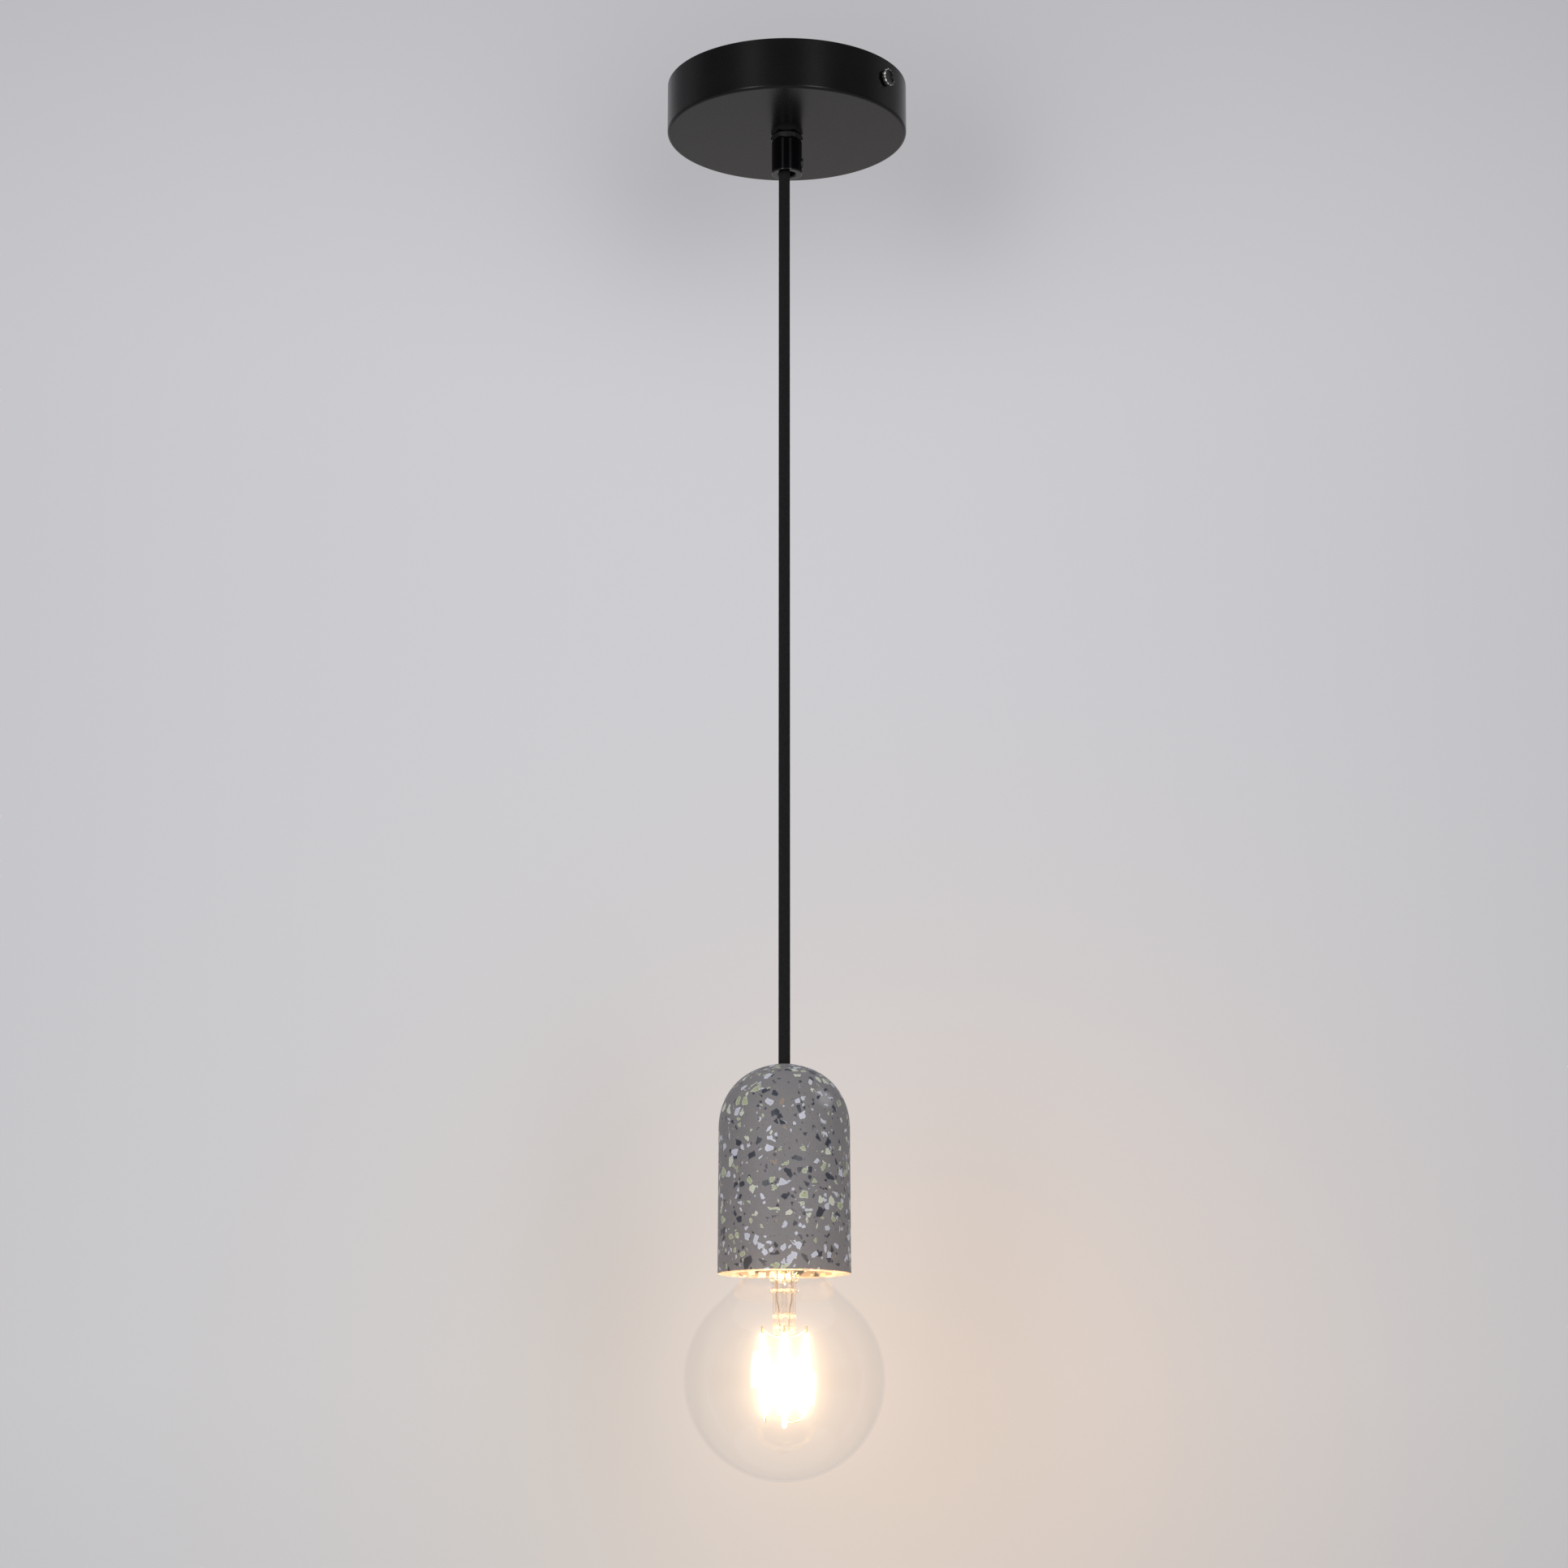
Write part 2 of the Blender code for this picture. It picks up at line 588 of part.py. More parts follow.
# ---- shade ---------------------------------------------------------------------------------------
def make_shade(seat_pivot, shade_pivot):
    """The cast shade, its cord grommet, and the washer it rests on."""
    origin = CAVITY_TOP
    dome_height = SHADE_TOP - SHADE_SHOULDER
    outline = [(SHADE_HOLE, SHADE_TOP)]
    steps = 9
    for step in range(2, steps + 1):
        angle = step / steps * math.pi / 2
        radius = SHADE_SHOULDER_RADIUS * math.sin(angle) ** (2 / DOME_POWER)
        height = SHADE_SHOULDER + dome_height * math.cos(angle) ** (2 / DOME_POWER)
        outline.append((radius, height))
    bore = SHADE_RIM_RADIUS - SHADE_WALL
    outline += [(SHADE_RIM_RADIUS, SHADE_BOTTOM + 0.5), (SHADE_RIM_RADIUS - 0.5, SHADE_BOTTOM),
                (bore + 0.4, SHADE_BOTTOM), (bore, SHADE_BOTTOM + 0.4), (bore, CAVITY_TOP - 2.0),
                (bore - 2.0, CAVITY_TOP), (SHADE_HOLE, CAVITY_TOP)]
    at = (HEAD_X, 0, origin)
    turned("shade", "terrazzo", above(outline, origin), sides=36, place=at, parent=shade_pivot)

    grommet_top = SHADE_TOP - 0.6
    bush = ring(CORD_RADIUS + GAP, SHADE_HOLE - GAP, grommet_top, grommet_top - GROMMET_LENGTH)
    turned("shade_grommet", "black_plastic", above(bush, origin), sides=16, place=at, parent=shade_pivot)
    washer = ring(SEAT_BORE, SEAT_RADIUS, CAVITY_TOP - GAP, HOLDER_TOP + GAP)
    turned("shade_seat_washer", "fibre", above(washer, origin), sides=24, place=at, parent=seat_pivot)


# ---- lampholder ----------------------------------------------------------------------------------
def make_lampholder(side):
    """The two-piece holder, its insert, terminals and contacts."""
    outer, bore = HOLDER_RADIUS, HOLDER_BORE
    wall = outer - bore
    head = {"parent": side}
    at = (HEAD_X, 0, SWING_SIDE_Z)
    origin = SWING_SIDE_Z
    top, split = HOLDER_TOP, HOLDER_SPLIT
    mouth = CORD_RADIUS + GAP + 0.2
    cap = [(mouth, top), (13.0, top), (17.2, top - 2.2), (outer, top - 6.5), (outer, split),
           (bore, split), (bore, top - 7.3), (16.0, top - 4.2), (12.4, top - wall), (mouth, top - wall)]
    turned("lampholder_cap", "black_plastic", above(cap, origin), place=at, **head)
    rim = HOLDER_RIM
    body = [(outer, split - GAP), (outer, rim + 0.5), (outer - 0.5, rim), (bore + 0.3, rim),
            (bore, rim + 0.4), (bore, split - GAP)]
    turned("lampholder_body", "black_plastic", above(body, origin), place=at, **head)
    insert = ring(2.2, bore - GAP, INSERT_TOP, INSERT_BOTTOM, 0.6)
    turned("lampholder_insert", "porcelain", above(insert, origin), place=at, **head)

    clamp = ring(CORD_RADIUS + GAP, 6.4, top - wall - GAP, top - wall - 7.0)
    turned("holder_cord_clamp", "white_nylon", above(clamp, origin), sides=16, place=at, **head)

    screw_ring = 9.5
    for pole, label, finish in ((-1, "a", "core_brown"), (1, "b", "core_blue")):
        high = INSERT_TOP + GAP
        outline = [(0, high + 1.6), (2.6, high + 1.6), (2.6, high), (0, high)]
        spot = (HEAD_X + pole * screw_ring, 0, origin)
        screw = turned("holder_screw_" + label, "brass", above(outline, origin), sides=16, closed=False,
                       place=spot, **head)
        notch(screw, (4.0, 0.8, 1.2), place=(spot[0], 0, high + 1.6))
        name = {"a": "core_live_bottom", "b": "core_neutral_bottom"}[label]
        start = Vector((HEAD_X + pole * CORE_SPREAD, 0, CORD_END - GAP))
        knots = [start, start - Vector((0, 0, 1.6)), (HEAD_X + pole * 4.4, 1.0, high + 3.6),
                 (HEAD_X + pole * 6.2, 3.6, high + 1.5), (HEAD_X + pole * 8.6, 5.2, high + 1.1)]
        wire(name, finish, smooth_route(knots, 3), CORE_RADIUS, place=at, parent=side)

    shell_bottom, thread_top = NECK_TOP + 5.4, BULB_TIP - 4.0
    wall = 0.5

    def shell_radius(height, angle):
        fade_in = fade(height, thread_top, shell_bottom - 2.0)
        return SHELL_THREAD_RADIUS + wall + THREAD_DEPTH * fade_in * thread_wave(height, angle)

    threaded_sleeve("screw_shell", "nickel", shell_radius, INSERT_BOTTOM - 0.6, shell_bottom, wall, at,
                    side)

    contact_low = BULB_TIP + GAP
    post_top = INSERT_BOTTOM - CONTACT_TRAVEL - 0.2
    contact = [(0, post_top), (1.6, post_top), (1.6, contact_low + 0.7), (3.2, contact_low + 0.7),
               (3.2, contact_low), (0, contact_low)]
    turned("centre_contact", "brass", above(contact, INSERT_BOTTOM), sides=16, closed=False,
           place=(HEAD_X, 0, INSERT_BOTTOM), parent=side)
    block("side_contact", "brass", (0.8, 5.0, 8.4), edge=0.2,
          place=(HEAD_X - 14.8, 0, INSERT_BOTTOM - GAP - 4.2), **head)


# ---- globe lamp ----------------------------------------------------------------------------------
def neck_curve():
    """From the straight neck, flaring smoothly into the globe 45 degrees below its top."""
    reach = GLOBE_RADIUS * math.sqrt(0.5)
    start, end = (NECK_RADIUS, NECK_TOP), (reach, GLOBE_Z + reach)
    hold = 12 * math.sqrt(0.5)
    return [start] + bezier(start, (start[0], start[1] - 11.5), (end[0] - hold, end[1] + hold), end, 6)


def globe_outline():
    outer = neck_curve()
    steps = 9
    for step in range(1, steps + 1):
        angle = math.pi / 4 + step / steps * math.pi * 3 / 4
        radius = GLOBE_RADIUS * math.sin(angle) if step < steps else 0.0
        outer.append((radius, GLOBE_Z + GLOBE_RADIUS * math.cos(angle)))
    inner = []
    for i, (radius, height) in enumerate(outer):
        before, after = outer[max(i - 1, 0)], outer[min(i + 1, len(outer) - 1)]
        run = Vector((after[0] - before[0], after[1] - before[1])).normalized()
        if i == 0:
            run = Vector((0, -1))
        if i == len(outer) - 1:
            run = Vector((-1, 0))
        inner.append((max(0.0, radius + run.y * GLASS), height - run.x * GLASS))
    inner[-1] = (0.0, GLOBE_Z - GLOBE_RADIUS + GLASS)
    return list(reversed(inner)) + outer


def cap_radius(height, angle):
    thread_top, thread_bottom = BULB_TIP - 5.0, NECK_TOP + 4.5
    if height > thread_top:
        return CAP_THREAD_RADIUS - 3.2 * min(1.0, (height - thread_top) / 1.6)
    if height < thread_bottom:
        return CAP_THREAD_RADIUS + 1.4 * min(1.0, (thread_bottom - height) / 2.2)
    depth = THREAD_DEPTH * fade(height, thread_top, thread_bottom)
    return CAP_THREAD_RADIUS + depth * thread_wave(height, angle)


def filament_spot(index, ring_radius, height, lead=0.0):
    angle = (index + 0.5) / FILAMENTS * TURN + lead
    return (HEAD_X + ring_radius * math.cos(angle), ring_radius * math.sin(angle), height)


def make_bulb(tip_pivot, bulb_pivot):
    """The globe lamp: contact, cap, globe, glass stem, driver board and its ring of filaments."""
    at = (HEAD_X, 0, BULB_TIP)
    lamp = {"place": at, "parent": bulb_pivot}
    contact = [(0, BULB_TIP), (2.6, BULB_TIP - 0.2), (3.8, BULB_TIP - 1.2), (3.8, BULB_TIP - 3.0),
               (0, BULB_TIP - 3.0)]
    turned("bulb_contact", "nickel", above(contact, BULB_TIP), sides=18, closed=False, place=at,
           parent=tip_pivot)
    insulator = [(4.1, -1.4), (8.8, -3.4), (8.8, -4.8), (4.1, -4.8)]
    turned("bulb_insulator", "black_glass", insulator, sides=18, **lamp)
    threaded_sleeve("bulb_cap", "nickel", cap_radius, BULB_TIP - 3.6, NECK_TOP - 2.5, 0.4, at,
                    bulb_pivot)
    turned("bulb_globe", "clear_glass", above(globe_outline(), BULB_TIP), sides=32, closed=False, **lamp)

    tube, bore, flare = STEM_TUBE_RADIUS, STEM_TUBE_BORE, NECK_TOP - 2.2
    stem = [(0, STEM_END + 3.4), (bore, STEM_END + 6.0), (bore, NECK_TOP - 9.5), (10.2, flare),
            (11.0, flare), (tube, NECK_TOP - 9.8), (tube, STEM_END + 3.0), (4.0, STEM_END),
            (0, STEM_END)]
    turned("bulb_stem", "clear_glass", above(stem, BULB_TIP), sides=16, closed=False, **lamp)
    for side, label in ((-1, "a"), (1, "b")):
        x = HEAD_X + side * LEAD_SPREAD
        wire("lead_wire_" + label, "nickel", [(x, 0, NECK_TOP + 1.0), (x, 0, STEM_END + 7.0)],
             WIRE_RADIUS, place=at, parent=bulb_pivot)
    block("driver_board", "circuit_board", BOARD_SIZE, edge=0.2, place=(HEAD_X, 0, NECK_TOP + 9.0),
          parent=bulb_pivot)

    low = FILAMENT_TOP - FILAMENT_LENGTH
    for index in range(FILAMENTS):
        ends = [filament_spot(index, FILAMENT_TOP_RING, FILAMENT_TOP),
                filament_spot(index, FILAMENT_LOW_RING, low, FILAMENT_LEAN)]
        wire("filament_" + str(index + 1), "filament", ends, FILAMENT_RADIUS, place=at,
             parent=bulb_pivot)
    make_filament_frame(at, bulb_pivot)
    for pair, label in enumerate("abc"):
        first, last = (Vector(filament_spot(2 * pair + k, FILAMENT_LOW_RING, low - GAP, FILAMENT_LEAN))
                       for k in (0, 1))
        middle = (first + last) / 2 - Vector((0, 0, 3.6))
        wire("filament_link_" + label, "nickel", smooth_route([first, middle, last], 3), WIRE_RADIUS,
             place=at, parent=bulb_pivot)


def make_filament_frame(at, bulb_pivot):
    """One star of bare wire under the stem: a small hub joined to a spoke over each filament."""
    hub_z = STEM_END - 0.9
    spoke_z = FILAMENT_TOP + FILAMENT_RADIUS + 0.2
    star = rod("filament_frame", "nickel", 3.4, 1.0, sides=12, place=(HEAD_X, 0, hub_z),
               parent=bulb_pivot)
    for index in range(FILAMENTS):
        tip = Vector(filament_spot(index, FILAMENT_TOP_RING + 0.4, spoke_z))
        foot = Vector(filament_spot(index, 2.4, hub_z))
        run = tip - foot
        label = "frame_spoke_" + str(index + 1)
        mesh = rod_mesh(label, WIRE_RADIUS, run.length, 6)
        spoke = put(label, mesh, None, place=(tip + foot) / 2, group=CUTTERS)
        spoke.rotation_mode = "QUATERNION"
        spoke.rotation_quaternion = run.to_track_quat("Z", "Y")
        spoke.hide_render = True
        spoke.display_type = "WIRE"
        join = star.modifiers.new("spoke", "BOOLEAN")
        join.operation = "UNION"
        join.solver = "EXACT"
        join.object = spoke


# ---- assembly ------------------------------------------------------------------------------------
def build():
    make_bracket()
    make_earth_screw()
    make_canopy()
    make_thumb_screw(1, "right")
    make_thumb_screw(-1, "left")
    terminal_z = make_terminal_block()
    make_grip()

    front = pivot("swing_front_axis", (HEAD_X, 0, SWING_FRONT_Z))
    side = pivot("swing_side_axis", (HEAD_X, 0, SWING_SIDE_Z), front)
    seat = pivot("shade_spin_axis", (HEAD_X, 0, CAVITY_TOP), side)
    lift = pivot("shade_lift_axis", (HEAD_X, 0, CAVITY_TOP), seat)
    tip = pivot("bulb_travel_axis", (HEAD_X, 0, BULB_TIP), side)
    bulb = pivot("bulb_screw_axis", (HEAD_X, 0, BULB_TIP), tip)
    make_cords(terminal_z, front, side)
    make_shade(seat, lift)
    make_lampholder(side)
    make_bulb(tip, bulb)
    for piece in PARTS.objects:
        if piece.type == "MESH":
            smooth(piece)


build()
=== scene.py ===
"""The looks of the pendant ceiling light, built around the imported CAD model.

Lengths are millimetres in this script and become metres where a mesh is made. The ceiling is z = 0,
the light hangs down from it and the viewer stands on the -Y side.
"""

import functools
import json
from math import atan2, cos, hypot, pi, radians, sin, sqrt

import bmesh
import bpy
import numpy as np
from mathutils import Matrix, Vector


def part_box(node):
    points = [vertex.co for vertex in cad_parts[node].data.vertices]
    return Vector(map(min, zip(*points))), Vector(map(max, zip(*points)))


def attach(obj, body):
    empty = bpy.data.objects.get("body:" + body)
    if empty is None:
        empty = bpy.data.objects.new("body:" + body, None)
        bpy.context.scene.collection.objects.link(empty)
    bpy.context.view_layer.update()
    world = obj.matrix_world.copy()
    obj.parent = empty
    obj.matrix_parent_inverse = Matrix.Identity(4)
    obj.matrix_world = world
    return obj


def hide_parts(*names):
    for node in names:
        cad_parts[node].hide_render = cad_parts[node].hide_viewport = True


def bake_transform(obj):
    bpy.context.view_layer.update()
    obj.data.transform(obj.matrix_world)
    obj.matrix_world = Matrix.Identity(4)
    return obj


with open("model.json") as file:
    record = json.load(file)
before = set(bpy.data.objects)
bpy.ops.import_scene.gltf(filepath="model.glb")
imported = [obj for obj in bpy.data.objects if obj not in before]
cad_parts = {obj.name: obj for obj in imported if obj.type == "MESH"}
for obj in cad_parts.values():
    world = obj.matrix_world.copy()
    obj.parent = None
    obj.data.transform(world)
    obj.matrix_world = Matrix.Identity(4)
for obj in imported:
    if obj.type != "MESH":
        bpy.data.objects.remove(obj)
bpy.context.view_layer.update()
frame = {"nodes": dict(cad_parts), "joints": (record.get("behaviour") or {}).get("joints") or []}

MM = 0.001
TURN = 2 * pi
PARTS = bpy.context.scene.collection


def mm_box(node):
    low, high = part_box(node)
    return low / MM, high / MM


# ---- sizes read from the frame, in mm
canopy_low, canopy_high = mm_box("canopy_cup")
grip_low, grip_high = mm_box("cord_grip_body")
nut_low, nut_high = mm_box("grip_hex_nut")
cord_low, cord_high = mm_box("cord")
tail_high = mm_box("cord_tail")[1]
shade_low, shade_high = mm_box("shade")
holder_low, holder_high = mm_box("lampholder_body")
cap_low, cap_high = mm_box("lampholder_cap")
globe_low, globe_high = mm_box("bulb_globe")
lamp_cap_low, lamp_cap_high = mm_box("bulb_cap")
stem_low = mm_box("bulb_stem")[0]

HEAD_X = (cord_low.x + cord_high.x) / 2
HANG_AXIS = (HEAD_X, 0)  # x and y of the axis that the cord, holder and lamp share
CORD_RADIUS = (cord_high.x - cord_low.x) / 2
JOINTS = {joint["name"]: joint for joint in frame["joints"]}
SWING_FRONT_Z = JOINTS["swing_front"]["pos_m"][2] / MM
SWING_SIDE_Z = JOINTS["swing_side"]["pos_m"][2] / MM
CORD_SPLIT_Z = (SWING_FRONT_Z + SWING_SIDE_Z) / 2


# ---- camera
CAMERA_PLACE = (-1.45, -1634.0, -714.85)
CAMERA_TILT = radians(12.16)  # it looks up a little
CAMERA_LENS = 78.76  # on a 36 mm sensor


def make_camera():
    data = bpy.data.cameras.new("camera")
    data.lens = CAMERA_LENS
    data.sensor_width = 36.0
    camera = bpy.data.objects.new("camera", data)
    PARTS.objects.link(camera)
    camera.location = Vector(CAMERA_PLACE) * MM
    camera.rotation_euler = (pi / 2 + CAMERA_TILT, 0, 0)
    bpy.context.scene.camera = camera


# ---- node material helpers
class Material:
    """A node material with short calls for the nodes used here.

    Any value may be a number, a tuple or another node's output.
    """

    def __init__(self, name, colour, roughness, metallic=0.0, **sockets):
        self.data = bpy.data.materials.new(name)
        self.data.use_nodes = True
        self.tree = self.data.node_tree
        self.shader = self.tree.nodes["Principled BSDF"]
        self.drive(Base_Color=(*colour, 1.0), Roughness=roughness, Metallic=metallic, **sockets)

    def drive(self, **sockets):
        """Set or feed the Principled shader's sockets."""
        for name, value in sockets.items():
            self.feed(value, self.shader.inputs[name.replace("_", " ")])

    def node(self, kind, inputs=None, **settings):
        made = self.tree.nodes.new("ShaderNode" + kind)
        for name, value in settings.items():
            setattr(made, name, value)
        for name, value in (inputs or {}).items():
            self.feed(value, made.inputs[name])
        return made

    def feed(self, value, socket):
        """Link an output to the socket, or set the socket's own value."""
        if isinstance(value, bpy.types.NodeSocket):
            self.tree.links.new(value, socket)
        else:
            socket.default_value = value

    def spot(self):
        """Object coordinates in metres."""
        return self.node("TexCoord").outputs["Object"]

    def axes(self):
        return self.node("SeparateXYZ", {"Vector": self.spot()}).outputs

    def place(self, scale=1.0, stretch=(1, 1, 1)):
        """Object coordinates in millimetres times scale."""
        factors = tuple(scale * s / MM for s in stretch)
        return self.node("Mapping", {"Vector": self.spot(), "Scale": factors}).outputs["Vector"]

    def facing(self):
        """0 where the surface is seen square on, 1 at grazing angles."""
        return self.node("LayerWeight", {"Blend": 0.5}).outputs["Facing"]

    def noise(self, scale, detail=3.0, roughness=0.5, vector=None, out="Fac"):
        inputs = {"Vector": vector or self.place(), "Scale": scale, "Detail": detail,
                  "Roughness": roughness}
        return self.node("TexNoise", inputs).outputs[out]

    def cells(self, scale, vector, feature="F1", out="Distance", randomness=1.0):
        inputs = {"Vector": vector, "Scale": scale, "Randomness": randomness}
        return self.node("TexVoronoi", inputs, feature=feature).outputs[out]

    def maths(self, operation, a, b=0.0, clamp=False):
        return self.node("Math", {0: a, 1: b}, operation=operation, use_clamp=clamp).outputs[0]

    def times(self, *values):
        return functools.reduce(functools.partial(self.maths, "MULTIPLY"), values)

    def plus(self, *values):
        return functools.reduce(functools.partial(self.maths, "ADD"), values)

    def minus(self, a, b):
        return self.maths("SUBTRACT", a, b)

    def vectors(self, operation, a, b):
        """Maths on vectors; SCALE takes a single number as b."""
        inputs = {0: a, "Scale" if operation == "SCALE" else 1: b}
        made = self.node("VectorMath", inputs, operation=operation)
        return made.outputs["Value" if operation == "DISTANCE" else "Vector"]

    def hill(self, *slopes):
        """1 at a middle, falling off like a bell; each slope is (value, middle, half width)."""
        steps = [self.times(self.minus(value, middle), 1 / width) for value, middle, width in slopes]
        total = self.plus(*[self.times(step, step) for step in steps])
        return self.maths("EXPONENT", self.times(total, -0.5))

    def remap(self, value, low, high, to_low=0.0, to_high=1.0):
        inputs = {"Value": value, "From Min": low, "From Max": high, "To Min": to_low,
                  "To Max": to_high}
        return self.node("MapRange", inputs).outputs["Result"]

    def pick(self, value, stops):
        """The colour of the last stop that value has passed; each stop is (start, colour)."""
        made = self.node("ValToRGB", {"Fac": value})
        ramp = made.color_ramp
        ramp.interpolation = "CONSTANT"
        while len(ramp.elements) < len(stops):
            ramp.elements.new(0.5)
        for element, (start, colour) in zip(ramp.elements, stops):
            element.position = start
            element.color = (*colour, 1.0)
        return made.outputs["Color"]

    def mix(self, factor, a, b):
        """Colour a where factor is 0 and b where it is 1."""
        made = self.node("Mix", data_type="RGBA")
        for socket, value in ((made.inputs[0], factor), (made.inputs[6], a), (made.inputs[7], b)):
            if isinstance(value, tuple) and len(value) == 3:
                value = (*value, 1.0)
            self.feed(value, socket)
        return made.outputs[2]

    def split(self, colour):
        return self.node("SeparateColor", {"Color": colour}).outputs

    def bump(self, height, distance_mm, strength=1.0, normal=None):
        inputs = {"Height": height, "Distance": distance_mm * MM, "Strength": strength}
        if normal is not None:
            inputs["Normal"] = normal
        return self.node("Bump", inputs).outputs["Normal"]


# ---- materials
def powder_coat():
    """Matt black powder coat: a fine orange-peel grain with slight dust."""
    made = Material("powder_coat", (0.004, 0.004, 0.0045), 0.25, IOR=1.31)
    grain = made.noise(2.2, 4.0, 0.6)
    cloud = made.remap(made.noise(0.05), 0.35, 0.7)
    made.drive(Base_Color=made.mix(cloud, (0.003, 0.003, 0.0034), (0.0048, 0.0046, 0.005)),
               Roughness=made.remap(grain, 0.3, 0.7, 0.22, 0.29),
               Normal=made.bump(grain, 0.02, 0.5))
    return made.data


def gloss_black():
    """Gloss black enamel over turned metal, with faint turning lines."""
    made = Material("gloss_black", (0.0012, 0.0012, 0.002), 0.1, IOR=1.42)
    lines = made.noise(1.0, 2.0, vector=made.place(1.0, (0.15, 0.15, 6.0)))
    made.drive(Roughness=made.remap(made.noise(0.35), 0.3, 0.7, 0.07, 0.14),
               Normal=made.bump(lines, 0.01, 0.3))
    return made.data


def plated(name, colour, roughness, spread=0.08):
    """Plated metal: fine lines, smudges and a little tone change."""
    made = Material(name, colour, roughness, 1.0)
    smudge = made.noise(0.5, 4.0, 0.6)
    lines = made.noise(3.0, 2.0, vector=made.place(1.0, (1, 1, 4)))
    dark = tuple(0.78 * c for c in colour)
    made.drive(Base_Color=made.mix(made.remap(smudge, 0.3, 0.75), colour, dark),
               Roughness=made.remap(smudge, 0.3, 0.7, max(0.05, roughness - spread), roughness + spread),
               Normal=made.bump(lines, 0.015, 0.5))
    return made.data


def plastic(name, colour, roughness, grain=1.6, depth=0.03, coat=0.0):
    """Moulded plastic or thermoset with a fine moulded grain; depth is the grain's, in mm."""
    made = Material(name, colour, roughness, 0.0, Coat_Weight=coat)
    fine = made.noise(grain, 4.0, 0.6)
    broad = made.noise(0.12, 2.0)
    light = tuple(min(1.0, 1.18 * c + 0.002) for c in colour)
    made.drive(Base_Color=made.mix(made.remap(broad, 0.35, 0.7), colour, light),
               Roughness=made.remap(fine, 0.3, 0.7, roughness - 0.06, roughness + 0.08),
               Normal=made.bump(fine, depth, 0.6))
    return made.data


def textile():
    """Black braided sleeve: the braid is real mesh; the yarns' own fibres are bump and tone."""
    made = Material("textile", (0.008, 0.008, 0.009), 0.86, IOR=1.3, Sheen_Weight=0.05,
                    Sheen_Roughness=0.5)
    fibre = made.noise(5.0, 3.0, 0.7, vector=made.place(1.0, (1, 1, 0.5)))
    tone = made.remap(made.noise(0.7), 0.35, 0.7)
    made.drive(Base_Color=made.mix(tone, (0.0075, 0.0075, 0.008), (0.012, 0.012, 0.013)),
               Normal=made.bump(fibre, 0.08, 0.8))
    return made.data


# Each row: where a stone colour starts on a 0 to 1 draw, its body colour, its rim colour.
CHIP_STONES = [
    (0.00, (0.61, 0.625, 0.715), (0.69, 0.7, 0.77)),  # lilac white
    (0.38, (0.39, 0.43, 0.24), (0.66, 0.7, 0.54)),  # green cream with a pale rim
    (0.56, (0.034, 0.041, 0.06), (0.05, 0.06, 0.084)),  # slate
    (0.86, (0.64, 0.67, 0.53), (0.72, 0.74, 0.63)),  # pale cream
    (0.98, (0.34, 0.26, 0.2), (0.4, 0.32, 0.26)),  # tan
]
# Each row: cell in mm, share of the cells that hold a chip, least and most gap, stretch.
CHIP_LAYERS = [
    (1.7, 0.09, 0.1, 0.24, (1, 1, 1)),
    (2.6, 0.05, 0.08, 0.2, (1, 2.9, 1)),
    (3.2, 0.3, 0.1, 0.24, (1, 1, 1)),
    (5.2, 0.46, 0.14, 0.27, (1, 1, 1)),
]
CHIP_SCATTER = 0.9  # how far the chips' cells stray from an even grid
CEMENT_DARK, CEMENT_LIGHT = (0.213, 0.203, 0.206), (0.266, 0.254, 0.258)
CEMENT_PATCH = (0.4, 0.39, 0.375)
HIGHLIGHT_SPOT = (0.0179, -0.0219, -0.5186)  # the middle of a painted highlight, a pale patch on the dome, in metres
HIGHLIGHT_COLOUR = (0.52, 0.52, 0.52)
# colours of painted shade inside the air holes and the tiny dots
PORE_SHADE, DOT_SHADE = (0.09, 0.084, 0.082), (0.045, 0.043, 0.044)


def stone_chips(made, where, cell_mm, share, gap_low, gap_high, stretch):
    """One size of stone chip: 1 on a chip, and the stone's colour there."""
    spun = made.node("Mapping", {"Vector": where, "Rotation": (cell_mm, 0.4 * cell_mm, 1.7),
                                 "Scale": stretch}).outputs["Vector"]
    draw = made.split(made.cells(1 / cell_mm, spun, out="Color", randomness=CHIP_SCATTER))
    edge = made.cells(1 / cell_mm, spun, "DISTANCE_TO_EDGE", randomness=CHIP_SCATTER)
    gap = made.remap(draw[2], 0.0, 1.0, gap_low, gap_high)
    chip = made.times(made.maths("GREATER_THAN", edge, gap), made.maths("LESS_THAN", draw[0], share))
    body = made.pick(draw[1], [(start, inner) for start, inner, outer in CHIP_STONES])
    rim = made.pick(draw[1], [(start, outer) for start, inner, outer in CHIP_STONES])
    stone = made.mix(made.remap(made.minus(edge, gap), 0.02, 0.1), rim, body)
    vein = made.noise(1.4 / cell_mm + 0.5, 4.0, 0.65, vector=spun)
    return chip, made.mix(made.remap(vein, 0.42, 0.7, 0.0, 0.45), stone, rim)


def air_holes(made, where, cell_mm, least, most, share):
    """Round holes in a share of the cells: 1 in a hole, and the distance from its middle."""
    draw = made.split(made.cells(1 / cell_mm, where, out="Color"))
    reach = made.cells(1 / cell_mm, where)
    size = made.remap(draw[1], 0.0, 1.0, least, most)
    return made.times(made.maths("LESS_THAN", reach, size),
                      made.maths("LESS_THAN", draw[0], share)), reach


